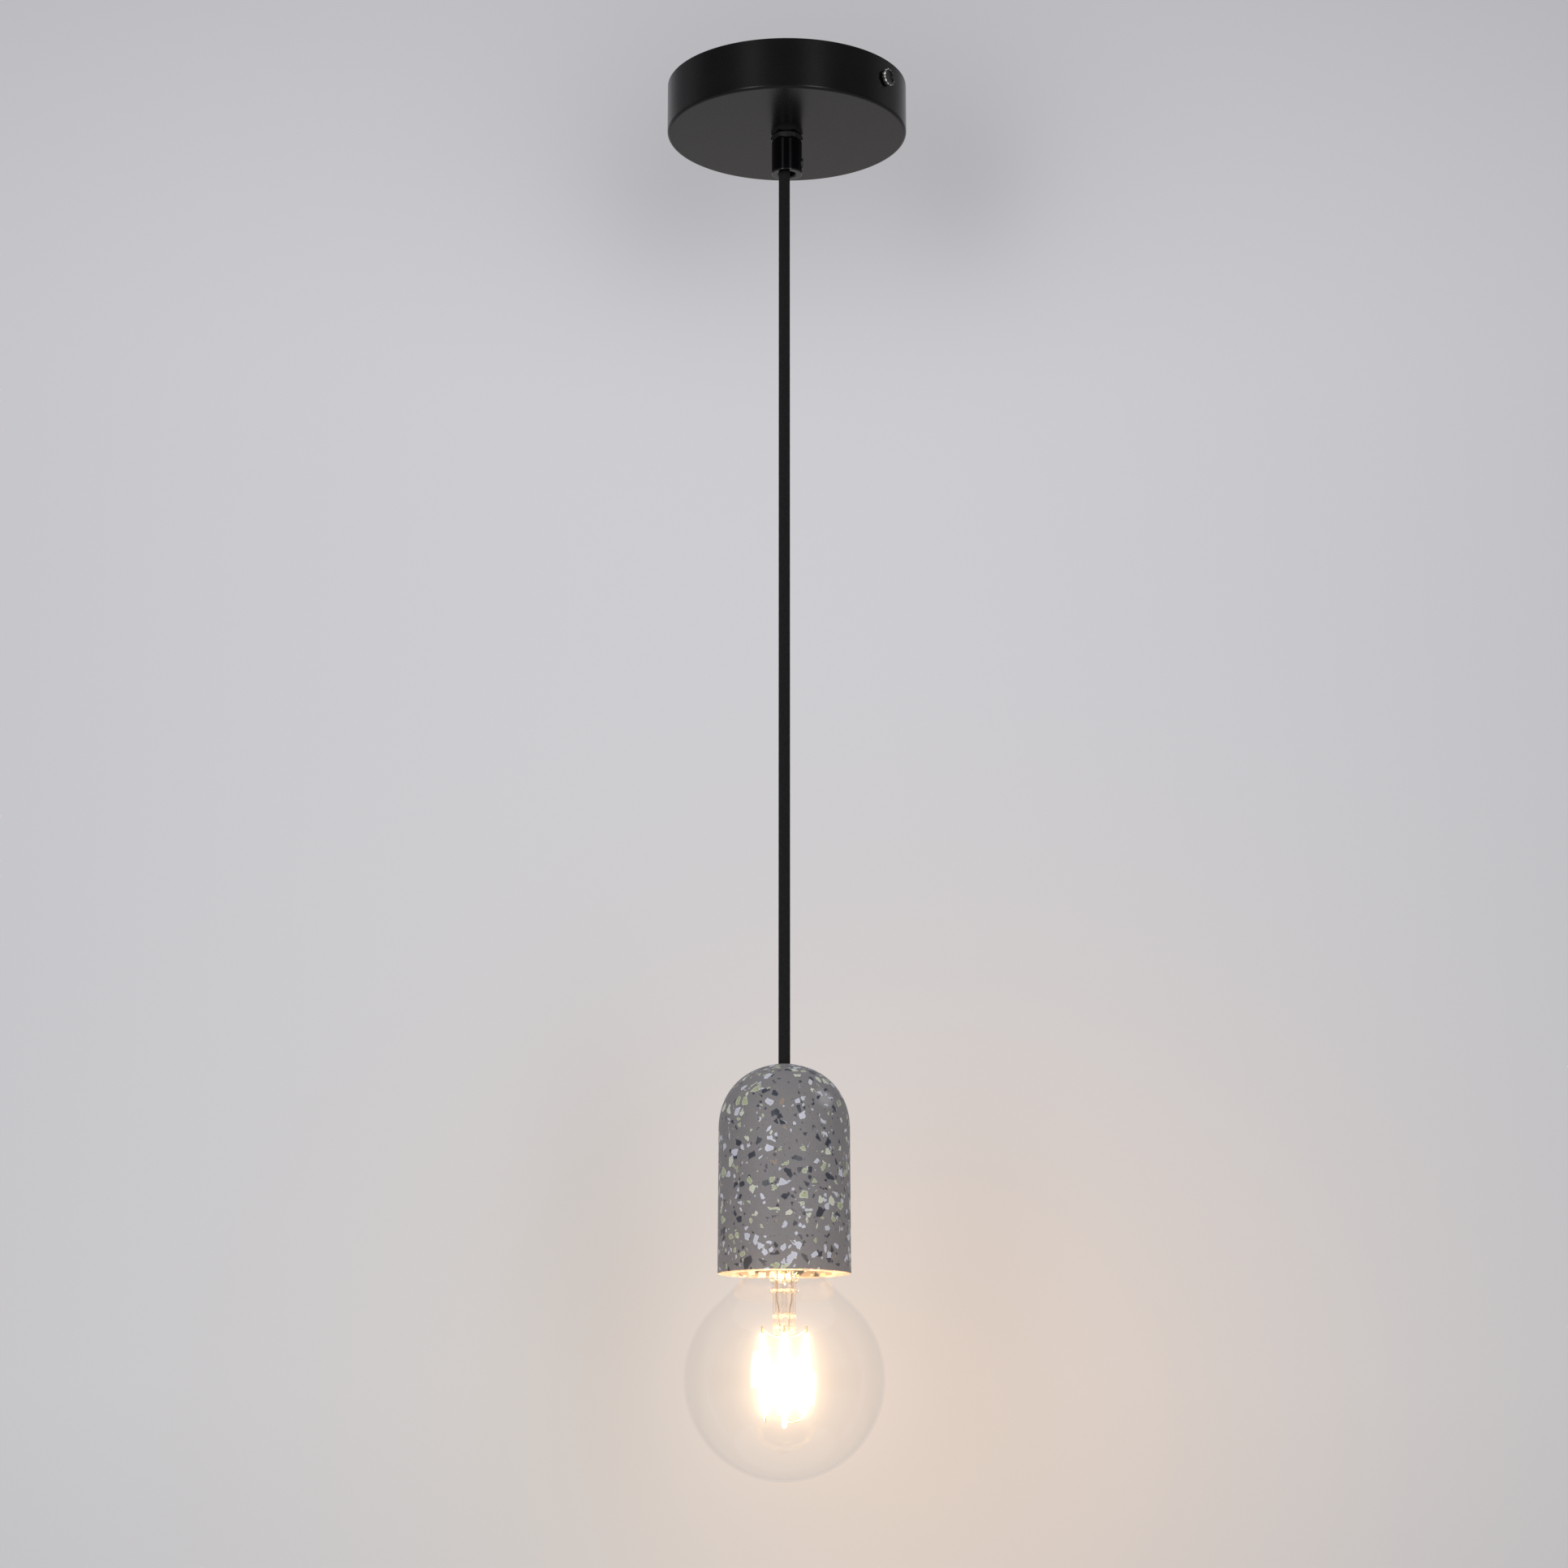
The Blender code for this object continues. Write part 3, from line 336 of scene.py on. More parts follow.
def terrazzo():
    """Grey cement with stone chips and slivers, fine sand, cloudy patches, air holes darkened with
    painted shade, and a painted highlight on the dome.
    """
    made = Material("terrazzo", (0.2, 0.19, 0.18), 0.5)
    where = made.place()
    wander = made.noise(0.45, 2.0, vector=where, out="Color")
    shift = made.vectors("SCALE", made.vectors("SUBTRACT", wander, (0.5, 0.5, 0.5)), 1.3)
    bent = made.vectors("ADD", where, shift)

    sand = made.noise(1.1, 5.0, 0.7, vector=where)
    patch = made.noise(0.055, 3.0, 0.55, vector=where)
    colour = made.mix(made.remap(sand, 0.3, 0.72), CEMENT_DARK, CEMENT_LIGHT)
    colour = made.mix(made.remap(patch, 0.6, 0.78, 0.0, 0.3), colour, CEMENT_PATCH)
    # painted highlight: a pale patch on the dome that stands in for light falling on it
    reach = made.vectors("DISTANCE", made.spot(), HIGHLIGHT_SPOT)
    highlight_reach = made.plus(reach, made.times(sand, 0.006))
    colour = made.mix(made.remap(highlight_reach, 0.0095, 0.005, 0.0, 0.55), colour, HIGHLIGHT_COLOUR)
    chips = None
    for layer in CHIP_LAYERS:
        chip, stone = stone_chips(made, bent, *layer)
        colour = made.mix(chip, colour, stone)
        chips = chip if chips is None else made.maths("MAXIMUM", chips, chip)
    pore, pore_reach = air_holes(made, where, 6.0, 0.07, 0.15, 0.3)
    dot, _ = air_holes(made, where, 2.0, 0.12, 0.12, 0.4)
    # painted shade darkens the air holes and the dots
    colour = made.mix(made.times(pore, 0.6), colour, PORE_SHADE)
    colour = made.mix(made.times(dot, 0.8), colour, DOT_SHADE)
    fine = made.bump(sand, 0.05, 0.5)
    proud = made.bump(made.times(chips, 0.5), 0.03, 0.6, normal=fine)
    hollow = made.times(pore, made.remap(pore_reach, 0.0, 0.15, 1.0, 0.3), -1.0)
    made.drive(Base_Color=colour, Normal=made.bump(hollow, 0.7, 1.0, normal=proud),
               Roughness=made.minus(made.remap(sand, 0.3, 0.7, 0.5, 0.62), made.times(chips, 0.2)))
    return made.data


def clear_glass():
    """Thin clear glass: see-through, with a gloss that grows at grazing angles and tinted edges."""
    tint, edge_tint = (0.997, 0.997, 0.996), (0.992, 0.985, 0.972)
    made = Material("clear_glass", tint, 0.02)
    facing = made.facing()
    shade = made.mix(made.maths("POWER", facing, 4.0), tint, edge_tint)
    clear = made.node("BsdfTransparent", {"Color": shade}).outputs[0]
    sheen = made.node("BsdfGlossy", {"Color": (0.95, 0.95, 0.95, 1.0), "Roughness": 0.015}).outputs[0]
    gloss = made.plus(made.times(made.maths("POWER", facing, 5.0), 0.24), 0.028)
    mixed = made.node("MixShader", {0: gloss, 1: clear, 2: sheen}).outputs[0]
    made.feed(mixed, made.tree.nodes["Material Output"].inputs["Surface"])
    return made.data


# Each row: height in mm, half width and strength of one of the stem's bright rings, a painted glow that
# stands in for the lamp's light gathered in the glass.
PAINTED_RINGS = [(-602.6, 0.45, 0.9), (-607.5, 0.45, 1.0), (-619.6, 0.9, 0.9), (-624.6, 1.3, 0.7)]


def stem_glass():
    """Drawn glass in the lamp's light: clear, pale edges, and bright rings of painted glow where the
    light gathers.
    """
    made = Material("stem_glass", (0.3, 0.23, 0.15), 0.05, IOR=1.45)
    height = made.axes()["Z"]
    rings = [made.times(made.hill((height, middle * MM, width * MM)), level)
             for middle, width, level in PAINTED_RINGS]
    breaks = made.noise(1.0, 3.0, 0.6, vector=made.place(1.0, (0.6, 0.6, 0.4)))
    breaks = made.remap(breaks, 0.44, 0.58)
    painted_glow = made.times(made.plus(*rings), breaks)
    edge = made.times(made.maths("POWER", made.facing(), 3.0), 0.42)
    # painted glow: the rings emit light though the glass is no lamp
    made.drive(Alpha=made.maths("ADD", made.plus(edge, 0.04), painted_glow, clamp=True),
               Emission_Color=made.mix(breaks, (1.0, 0.6, 0.22), (1.0, 0.86, 0.58)),
               Emission_Strength=made.times(painted_glow, 1.5))
    made.data.cycles.emission_sampling = "NONE"
    return made.data


def filament():
    """A lit LED filament's phosphor: brighter in bands over its chips."""
    colour, band_colour = (1.0, 0.68, 0.36), (1.0, 0.8, 0.5)
    made = Material("filament", colour, 0.5, Emission_Strength=55.0)
    bands = made.noise(1.0, 1.0, vector=made.place(1.0, (0.3, 0.3, 1.2)))
    made.drive(Emission_Color=made.mix(made.remap(bands, 0.4, 0.65), colour, band_colour))
    made.data.cycles.emission_sampling = "NONE"
    return made.data


# Each row: colour and roughness; then metal's spread of it, or plastic's grain scale, depth and coat.
PLATED = {
    "black_nickel": ((0.075, 0.072, 0.07), 0.26),
    "dark_steel": ((0.16, 0.16, 0.155), 0.36),
    "worn_nickel": ((0.8, 0.79, 0.74), 0.12, 0.04),
    "lead_wire": ((0.62, 0.42, 0.26), 0.3),
    "zinc_steel": ((0.58, 0.59, 0.61), 0.34),
    "nickel": ((0.66, 0.62, 0.55), 0.2),
    "brass": ((0.7, 0.5, 0.22), 0.28),
}
PLASTIC = {
    "white_nylon": ((0.78, 0.77, 0.73), 0.42),
    "black_plastic": ((0.012, 0.012, 0.013), 0.32),
    "core_brown": ((0.16, 0.06, 0.025), 0.4),
    "core_blue": ((0.03, 0.1, 0.4), 0.4),
    "fibre": ((0.26, 0.07, 0.04), 0.7, 0.9, 0.08),
    "porcelain": ((0.78, 0.77, 0.73), 0.25, 0.3, 0.02, 0.6),
    "black_glass": ((0.006, 0.006, 0.007), 0.1, 0.3, 0.02),
    "circuit_board": ((0.02, 0.12, 0.05), 0.35, 0.8, 0.05),
}
LOOKS = {make.__name__: make() for make in (powder_coat, gloss_black, textile, terrazzo, clear_glass,
                                            stem_glass, filament)}
LOOKS.update((name, plated(name, *values)) for name, values in PLATED.items())
LOOKS.update((name, plastic(name, *values)) for name, values in PLASTIC.items())


# ---- mesh helpers
def make_object(name, verts, faces):
    """A linked mesh object; verts are in mm in the light's frame."""
    mesh = bpy.data.meshes.new(name)
    mesh.from_pydata([tuple(MM * c for c in v) for v in verts], [], faces)
    mesh.update()
    piece = bpy.data.objects.new(name, mesh)
    PARTS.objects.link(piece)
    return piece


def smooth(piece, sharp):
    """Smooth shading, but for edges sharper than so many degrees."""
    piece.data.shade_smooth()
    piece.data.set_sharp_from_angle(angle=radians(sharp))


STOOD_FOR = set()  # CAD nodes that have a piece here


def add_mesh(name, verts, faces, look, body, replaced=(), sharp=38):
    """A finished piece that stands in for the replaced CAD nodes."""
    STOOD_FOR.update(replaced)
    piece = make_object(name, verts, faces)
    piece.data.materials.append(LOOKS[look])
    if sharp:
        smooth(piece, sharp)
    if body:
        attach(piece, body)
    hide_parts(*replaced)
    return piece


def skin(rings, closed=False):
    """Faces between rings of vertex numbers; a ring may be one number again and again."""
    faces = []
    for upper, lower in zip(rings, rings[1:] + rings[:closed]):
        for k in range(len(upper)):
            corners = [upper[k - 1], lower[k - 1], lower[k], upper[k]]
            face = [c for i, c in enumerate(corners) if c not in corners[:i]]
            if len(face) > 2:
                faces.append(face)
    return faces


def lathe(outline, sides, closed, centre=(0.0, 0.0), radius_at=None):
    """Verts and faces of an outline of (radius, z) turned round a vertical axis through centre.

    The outline runs down the outer side. radius_at(radius, z, angle) may change a radius.
    """
    verts, rings = [], []
    for radius, z in outline:
        if radius < 1e-6:
            rings.append([len(verts)] * sides)
            verts.append((*centre, z))
            continue
        rings.append(list(range(len(verts), len(verts) + sides)))
        for k in range(sides):
            angle = TURN * k / sides
            r = radius_at(radius, z, angle) if radius_at else radius
            verts.append((centre[0] + r * cos(angle), centre[1] + r * sin(angle), z))
    return verts, skin(rings, closed)


def moved(verts, matrix):
    return [tuple(matrix @ Vector(v)) for v in verts]


def turned(name, outline, look, body, replaced=(), sides=96, closed=True, centre=(0.0, 0.0), place=None):
    """A lathed piece; place may turn and move it."""
    verts, faces = lathe(outline, sides, closed, centre)
    if place is not None:
        verts = moved(verts, place)
    return add_mesh(name, verts, faces, look, body, replaced)


def arc(centre, radius, start, end, steps):
    """Points on an arc; angles are in degrees from +r towards +z."""
    angles = [radians(start + (end - start) * i / steps) for i in range(steps + 1)]
    return [(centre[0] + radius * cos(a), centre[1] + radius * sin(a)) for a in angles]


def smooth_route(knots, count):
    """Points on one smooth curve through the knots (Catmull-Rom)."""
    ends = [knots[0], *knots, knots[-1]]
    route = []
    for i in range(1, len(ends) - 2):
        p0, p1, p2, p3 = (Vector(ends[i + k]) for k in (-1, 0, 1, 2))
        for step in range(count):
            t = step / count
            route.append(0.5 * ((2 * p1) + (p2 - p0) * t + (2 * p0 - 5 * p1 + 4 * p2 - p3) * t * t
                                + (3 * p1 - p0 - 3 * p2 + p3) * t ** 3))
    route.append(Vector(knots[-1]))
    return route


def tube(points, radius, sides=10):
    """Verts and faces of a round tube with flat ends along points."""
    verts, rings, side = [], [], None
    for i, point in enumerate(points):
        run = (points[min(i + 1, len(points) - 1)] - points[max(i - 1, 0)]).normalized()
        if side is None:
            side = run.orthogonal().normalized()
        side = (side - run * side.dot(run)).normalized()
        other = run.cross(side)
        rings.append(list(range(len(verts), len(verts) + sides)))
        for k in range(sides):
            angle = TURN * k / sides
            verts.append(tuple(point + radius * (cos(angle) * side + sin(angle) * other)))
    return verts, [*skin(rings[::-1]), rings[0][::-1], rings[-1]]


def join(parts):
    """Several (verts, faces) as one."""
    verts, faces = [], []
    for some_verts, some_faces in parts:
        shift = len(verts)
        verts += list(some_verts)
        faces += [tuple(shift + i for i in face) for face in some_faces]
    return verts, faces


def boolean(piece, verts, faces, operation="DIFFERENCE"):
    """Cut the piece with a closed mesh."""
    cutter = make_object("cutter", verts, faces)
    modifier = piece.modifiers.new("cut", "BOOLEAN")
    modifier.operation = operation
    modifier.solver = "EXACT"
    modifier.object = cutter
    bpy.context.view_layer.update()
    mesh = bpy.data.meshes.new_from_object(piece.evaluated_get(bpy.context.evaluated_depsgraph_get()))
    piece.modifiers.clear()
    piece.data = mesh
    bpy.data.objects.remove(cutter, do_unlink=True)


def drill(piece, radius, far, near, place):
    """A round hole along the local Z of place, between two distances."""
    sides = 48
    verts, faces = lathe([(radius, far), (radius, near)], sides, False)
    faces += [tuple(range(sides)), tuple(reversed(range(sides, 2 * sides)))]
    boolean(piece, moved(verts, place), faces)


# ---- canopy
CANOPY_RADIUS = (canopy_high.x - canopy_low.x) / 2
BOTTOM_RING = 24.0  # a ring of vertices halfway in on the underside
STEM_HOLE = 5.3
SCREW_AZIMUTH = radians(-36)  # the right thumb screw's direction
SCREW_DROP = -10.4  # the height of its axis
SIDE_HOLE = 2.4
EDGE_RING = 0.4  # a ring this far from a rounding keeps the flat beside it flat
CUT_SHARP = 30  # degrees, for pieces that were cut


def outward(azimuth, drop):
    """Turns local +Z to point out of the canopy along azimuth, with the origin on its axis."""
    return (Matrix.Translation((0, 0, drop)) @ Matrix.Rotation(azimuth, 4, "Z")
            @ Matrix.Rotation(pi / 2, 4, "Y"))


def make_canopy():
    outer, wall, fillet, bottom = CANOPY_RADIUS, 1.2, 1.4, canopy_low.z
    lower = arc((outer - fillet, bottom + fillet), fillet, 0, -90, 10)
    inner = arc((outer - fillet, bottom + fillet), fillet - wall, -90, 0, 5)
    outline = [(outer - 0.25, 0.0), (outer, -0.25), (outer, lower[0][1] + EDGE_RING), *lower,
               (lower[-1][0] - EDGE_RING, bottom), (BOTTOM_RING, bottom), (STEM_HOLE + 0.2, bottom),
               (STEM_HOLE, bottom + 0.2), (STEM_HOLE, bottom + wall), *inner, (outer - wall, 0.0)]
    shell = turned("canopy_shell", outline, "powder_coat", "canopy", ("canopy_cup",), sides=240)
    for azimuth in (SCREW_AZIMUTH, SCREW_AZIMUTH + pi):
        drill(shell, SIDE_HOLE, 70.0, 50.0, outward(azimuth, SCREW_DROP))
    smooth(shell, CUT_SHARP)


SCALLOPS, SCALLOP_DEPTH = 12, 0.48
THUMB_CORE = 3.9  # nothing nearer the axis is scalloped


def scalloped(radius, height, angle):
    """Scallops round a thumb screw's rim only."""
    if radius < THUMB_CORE:
        return radius
    return radius - SCALLOP_DEPTH * (0.5 + 0.5 * cos(SCALLOPS * angle))


def make_thumb_screws():
    seat = CANOPY_RADIUS + 0.3
    low, high, tip = seat + 0.45, seat + 2.6, seat - 10.0
    dish, rim, recess, edge, shank = high - 0.8, 4.4, 2.9, 0.4, 1.8
    head_outline = [(0, dish), (recess - 0.3, dish), (recess, dish + 0.2),
                    (recess + 0.12, high - 0.12), (recess + 0.3, high),
                    *arc((rim - edge, high - edge), edge, 90, 0, 5),
                    *arc((rim - edge, low + edge), edge, 0, -90, 5),
                    (shank, low), (shank, tip + 0.6), (shank - 0.6, tip), (0, tip)]
    wide, bore, thick = 3.4, 2.1, 0.4
    ring_outline = [(wide - 0.1, seat + thick), (wide, seat + thick - 0.1), (wide, seat + 0.1),
                    (wide - 0.1, seat), (bore + 0.1, seat), (bore, seat + 0.1),
                    (bore, seat + thick - 0.1), (bore + 0.1, seat + thick)]
    for label, azimuth in (("right", SCREW_AZIMUTH), ("left", SCREW_AZIMUTH + pi)):
        place = outward(azimuth, SCREW_DROP)
        verts, faces = lathe(head_outline, 144, False, radius_at=scalloped)
        head = add_mesh("thumb_screw_head_" + label, moved(verts, place), faces, "black_nickel",
                        "thumb_screw_" + label, ("thumb_screw_" + label,))
        head.data.materials.append(LOOKS["worn_nickel"])  # the scalloped rim is worn bright
        for polygon, face in zip(head.data.polygons, faces):
            reach = sum(hypot(*verts[i][:2]) for i in face) / len(face)
            polygon.material_index = int(reach > THUMB_CORE)
        turned("thumb_washer_ring_" + label, ring_outline, "black_nickel", "thumb_washer_" + label,
               ("thumb_screw_washer_" + label,), sides=72, place=place)


# ---- cord grip
SET_SCREW_Z = -41.1
SET_SCREW_RADIUS = 2.9
SET_SCREW_IN, SET_SCREW_OUT = 4.15, 8.2  # how far its ends are from the canopy's axis


def make_grip():
    outer, bore, stem, top_fillet, low_fillet = 7.7, 4.3, 4.95, 0.35, 0.4
    stem_top, top, bottom = grip_high.z, -29.5, grip_low.z
    upper = arc((outer - top_fillet, top - top_fillet), top_fillet, 90, 0, 5)
    lower = arc((outer - low_fillet, bottom + low_fillet), low_fillet, 0, -90, 6)
    outline = [(stem - 0.3, stem_top), (stem, stem_top - 0.3), (stem, top), *upper,
               (outer, upper[-1][1] - EDGE_RING), (outer, lower[0][1] + EDGE_RING), *lower,
               (lower[-1][0] - EDGE_RING, bottom), (bore + 0.6, bottom), (bore, bottom + 0.6),
               (bore, stem_top)]
    grip = turned("grip_barrel", outline, "gloss_black", "canopy", ("cord_grip_body",), sides=128)
    sideways = outward(0.0, SET_SCREW_Z)
    drill(grip, SET_SCREW_RADIUS + 0.3, 20.0, 1.9, sideways)
    smooth(grip, CUT_SHARP)

    radius, top = SET_SCREW_RADIUS, SET_SCREW_OUT
    outline = [(0, top), *arc((radius - 0.4, top - 0.4), 0.4, 90, 0, 4), (radius, SET_SCREW_IN),
               (0, SET_SCREW_IN)]
    screw = turned("set_screw", outline, "black_plastic", "grip_screw", ("grip_set_screw",), sides=64,
                   closed=False, place=sideways)
    depth, half_wide, half_long = 1.0, 0.45, 2.2  # the screwdriver slot
    slot = [(x, y, SET_SCREW_Z + z) for x in (top - depth, top + depth)
            for y in (-half_wide, half_wide) for z in (-half_long, half_long)]
    boolean(screw, slot, [(0, 1, 3, 2), (4, 6, 7, 5), (0, 4, 5, 1), (2, 3, 7, 6), (0, 2, 6, 4),
                          (1, 5, 7, 3)])
    smooth(screw, CUT_SHARP)


def make_nut():
    """A hexagon cut back by two shallow cones, so its corners are rounded off."""
    flats = nut_high.y - nut_low.y
    corner, bore, cone = flats / sqrt(3), 5.1, 0.62
    low, high = nut_low.z, nut_high.z
    verts, faces = lathe([(corner, high), (corner, low), (bore, low), (bore, high)], 6, True)
    nut = add_mesh("grip_jam_nut", verts, faces, "dark_steel", "canopy", ("grip_hex_nut",), sharp=None)
    inside, outside = flats / 2 - 0.1, corner + 0.3
    verts, faces = lathe([(0, high), (inside, high), (outside, high - cone), (outside, low + cone),
                          (inside, low), (0, low)], 96, False)
    boolean(nut, verts, faces, "INTERSECT")
    smooth(nut, 20)


# ---- cord
STRANDS = 14  # yarn bundles each way
STRAND_LEAD = 15.0  # height of one full turn of a bundle
BRAID_DEPTH = 0.26
BRAID_PROUD = 0.08  # yarn stands this far outside the CAD cord
CORD_SIDES = 84
CORD_ROW = 0.34  # height of one row of faces


def braid_relief(angle, height):
    """0 to 1: the height of a two-over-two braid's surface."""
    along = height / STRAND_LEAD * STRANDS
    one, two = STRANDS * angle / TURN + along, STRANDS * angle / TURN - along
    over = ((np.floor(one) + np.floor(two)) % 2) == 0
    round_one, round_two = (np.sqrt(np.clip(1 - (2 * (k % 1.0) - 1) ** 2, 0, 1)) for k in (one, two))
    swell_one, swell_two = (0.5 + 0.5 * np.sin(pi * (k % 1.0)) for k in (two, one))
    top = np.where(over, round_one * swell_one, round_two * swell_two)
    under = np.where(over, round_two, round_one) * 0.45
    return np.maximum(top, under)


def braided(name, top, bottom, replaced):
    rows = int(round((top - bottom) / CORD_ROW))
    angles = np.arange(CORD_SIDES) / CORD_SIDES * TURN
    angle, height = np.meshgrid(angles, np.linspace(top, bottom, rows + 1))
    radius = CORD_RADIUS + BRAID_PROUD - BRAID_DEPTH * (1 - braid_relief(angle, height))
    points = np.stack((HEAD_X + radius * np.cos(angle), radius * np.sin(angle), height), axis=-1)
    index = np.arange((rows + 1) * CORD_SIDES).reshape(rows + 1, CORD_SIDES).tolist()
    faces = [*skin(index), index[0], index[-1][::-1]]
    return add_mesh(name, points.reshape(-1, 3).tolist(), faces, "textile", None, replaced)


def make_cord():
    neck = braided("cord_neck", tail_high.z, CORD_SPLIT_Z, ("cord_tail",))
    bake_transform(neck)
    main = braided("cord_braid", CORD_SPLIT_Z, cord_low.z, ("cord_root", "cord"))
    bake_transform(main)


# ---- shade
SHADE_TOP, SHADE_BOTTOM = shade_high.z, shade_low.z
RIM_RADIUS = (shade_high.x - shade_low.x) / 2
SHOULDER_Z, SHOULDER_RADIUS = -531.4, RIM_RADIUS - 0.35
DOME_POWER = 2.15  # 2 would be an ellipse; more is squarer
SHADE_WALL = 8.05
SHADE_HOLE = 4.5
CAVITY_TOP = -528.5
SHADE_SIDES = 288
RIM_CHIPS = 30
BAND = 2.2  # chips in the bottom edge reach this far in
UNEVEN = 0.05  # half of how far the cast surface wanders


def shade_outline():
    bore = RIM_RADIUS - SHADE_WALL
    dome = SHADE_TOP - SHOULDER_Z
    outline = [(SHADE_HOLE + 0.25, SHADE_TOP)]
    for step in range(6, 41):
        angle = step / 40 * pi / 2
        outline.append((SHOULDER_RADIUS * sin(angle) ** (2 / DOME_POWER),
                        SHOULDER_Z + dome * cos(angle) ** (2 / DOME_POWER)))
    outline += [(SHOULDER_RADIUS + (RIM_RADIUS - SHOULDER_RADIUS) * k / 24,
                 SHOULDER_Z + (SHADE_BOTTOM + 0.6 - SHOULDER_Z) * k / 24) for k in range(1, 25)]
    outline += arc((RIM_RADIUS - 0.6, SHADE_BOTTOM + 0.6), 0.6, -20, -90, 5)
    outline += [(RIM_RADIUS - SHADE_WALL * k / 7, SHADE_BOTTOM) for k in range(1, 7)]
    outline += arc((bore + 0.5, SHADE_BOTTOM + 0.5), 0.5, -90, -180, 4)
    return outline + [(bore, CAVITY_TOP - 2.0), (bore - 2.0, CAVITY_TOP), (SHADE_HOLE, CAVITY_TOP),
                      (SHADE_HOLE, SHADE_TOP - 0.25)]


def make_shade():
    """The cast shade, slightly uneven, with small chips knocked off its bottom edge."""
    verts, faces = lathe(shade_outline(), SHADE_SIDES, True)
    draw = np.random.default_rng(11)
    chips = [(draw.uniform(0, TURN), draw.uniform(0.35, 1.1), draw.uniform(0.25, 0.75))
             for i in range(RIM_CHIPS)]  # direction, half width and depth
    shaped = []
    for x, y, z in verts:
        radius, angle = hypot(x, y), atan2(y, x) % TURN
        outside = radius > RIM_RADIUS - 2.0 or z > SHOULDER_Z + 2
        if radius > SHADE_HOLE + 1 and outside:
            radius -= UNEVEN * (1 + sin(3 * angle + z * 0.11) * sin(5 * angle - z * 0.05))
        low_edge = z < SHADE_BOTTOM + 1.2 and radius > RIM_RADIUS - BAND
        for centre, half, depth in (chips if low_edge else ()):
            apart = abs((angle - centre + pi) % TURN - pi) * RIM_RADIUS
            if apart < 1.6 * half:
                bite = depth * (1 - (apart / (1.6 * half)) ** 2)
                radius -= bite * 0.7
                if z < SHADE_BOTTOM + 0.5:
                    z += bite * 0.6 * max(0.0, 1 - (RIM_RADIUS - radius) / BAND)
        shaped.append((HEAD_X + radius * cos(angle), radius * sin(angle), z))
    add_mesh("shade_terrazzo", shaped, faces, "terrazzo", "shade", ("shade",))


# ---- lampholder
def make_lampholder():
    outer, bore, wall, high, rim = 19.6, 17.6, 2.0, holder_high.z, holder_low.z
    mouth, top, split = CORD_RADIUS + 0.5, cap_high.z, cap_low.z
    outline = [(mouth + 0.3, top), (12.6, top), (13.6, top - 0.25), (17.0, top - 2.1),
               (18.6, top - 4.2), (outer - 0.2, top - 6.0), (outer, top - 7.2), (outer, split + 0.3),
               (outer - 0.3, split), (outer - wall, split), (outer - wall, top - 7.3),
               (16.0, top - 4.2), (12.4, top - wall), (mouth, top - wall), (mouth, top - 0.3)]
    turned("holder_cap_shell", outline, "black_plastic", "pendant", ("lampholder_cap",), centre=HANG_AXIS)
    outline = [(outer - 0.3, high), (outer, high - 0.3), (outer, rim + 0.5),
               *arc((outer - 0.5, rim + 0.5), 0.5, 0, -90, 4), (bore + 0.4, rim), (bore, rim + 0.4),
               (bore, high)]
    turned("holder_sleeve", outline, "black_plastic", "pendant", ("lampholder_body",), sides=144,
           centre=HANG_AXIS)


# ---- screw threads of the lamp and its holder
PITCH = 3.629  # E27
THREAD_DEPTH = 0.4
THREAD_ROW = 0.22  # height of one row of faces
CAP_THREAD_RADIUS = 12.6
SHELL_THREAD_RADIUS = 13.15
SHELL_WALL, CAP_WALL = 0.5, 0.4
SHELL_TOP, SHELL_BOTTOM = -556.6, -580.6
BULB_TIP = -559.0
NECK_TOP = globe_high.z


def thread(height, angle, top, bottom):
    """The thread's rise, fading out at the top and bottom."""
    fade = max(0.0, min(1.0, (top - height) / 2.0, (height - bottom) / 2.0))
    return THREAD_DEPTH * fade * cos(TURN * (height / PITCH - angle / TURN))


def cap_radius(radius, height, angle):
    """The lamp's cap: narrower above its thread and flared out below it."""
    top, bottom = BULB_TIP - 5.0, NECK_TOP + 4.5
    if height > top:
        return radius - 3.2 * min(1.0, (height - top) / 1.6)
    if height < bottom:
        return radius + 1.4 * min(1.0, (bottom - height) / 2.2)
    return radius + thread(height, angle, top, bottom)


def shell_radius(radius, height, angle):
    return radius + thread(height, angle, BULB_TIP - 4.0, NECK_TOP + 3.4)


def threaded(name, radius, radius_at, top, bottom, wall, body, replaced):
    """A thin closed sleeve with its thread pressed through it."""
    rows = round((top - bottom) / THREAD_ROW)
    heights = [top + (bottom - top) * i / rows for i in range(rows + 1)]
    outline = [(radius, z) for z in heights] + [(radius - wall, z) for z in reversed(heights)]
    verts, faces = lathe(outline, 96, True, HANG_AXIS, radius_at)
    add_mesh(name, verts, faces, "nickel", body, (replaced,))


def make_threads():
    threaded("screw_shell_thread", SHELL_THREAD_RADIUS + SHELL_WALL, shell_radius, SHELL_TOP,
             SHELL_BOTTOM, SHELL_WALL, "pendant", "screw_shell")
    threaded("lamp_cap_thread", CAP_THREAD_RADIUS, cap_radius, lamp_cap_high.z, lamp_cap_low.z,
             CAP_WALL, "bulb", "bulb_cap")


# ---- globe lamp
GLOBE_RADIUS = (globe_high.x - globe_low.x) / 2
GLOBE_Z = globe_low.z + GLOBE_RADIUS
NECK_RADIUS = 12.9
NECK_PULL, GLOBE_PULL = 11.5, 12.0  # how far the neck and the globe hold their own directions
GLASS = 1.0  # how thick it is
STEM_END = stem_low.z
BEAD_HEIGHTS = (-602.6, -607.6)  # where the stem swelled as it was heated
BEAD_WIDE, BEAD_HIGH = 1.3, 1.4
FILAMENTS = 6
FILAMENT_TOP, FILAMENT_LOW = -627.2, -665.2
TOP_RING, LOW_RING = 12.0, 10.4  # the filaments' distance from the axis at their two ends
FILAMENT_RADIUS = 1.0
FILAMENT_LEAN = radians(6)


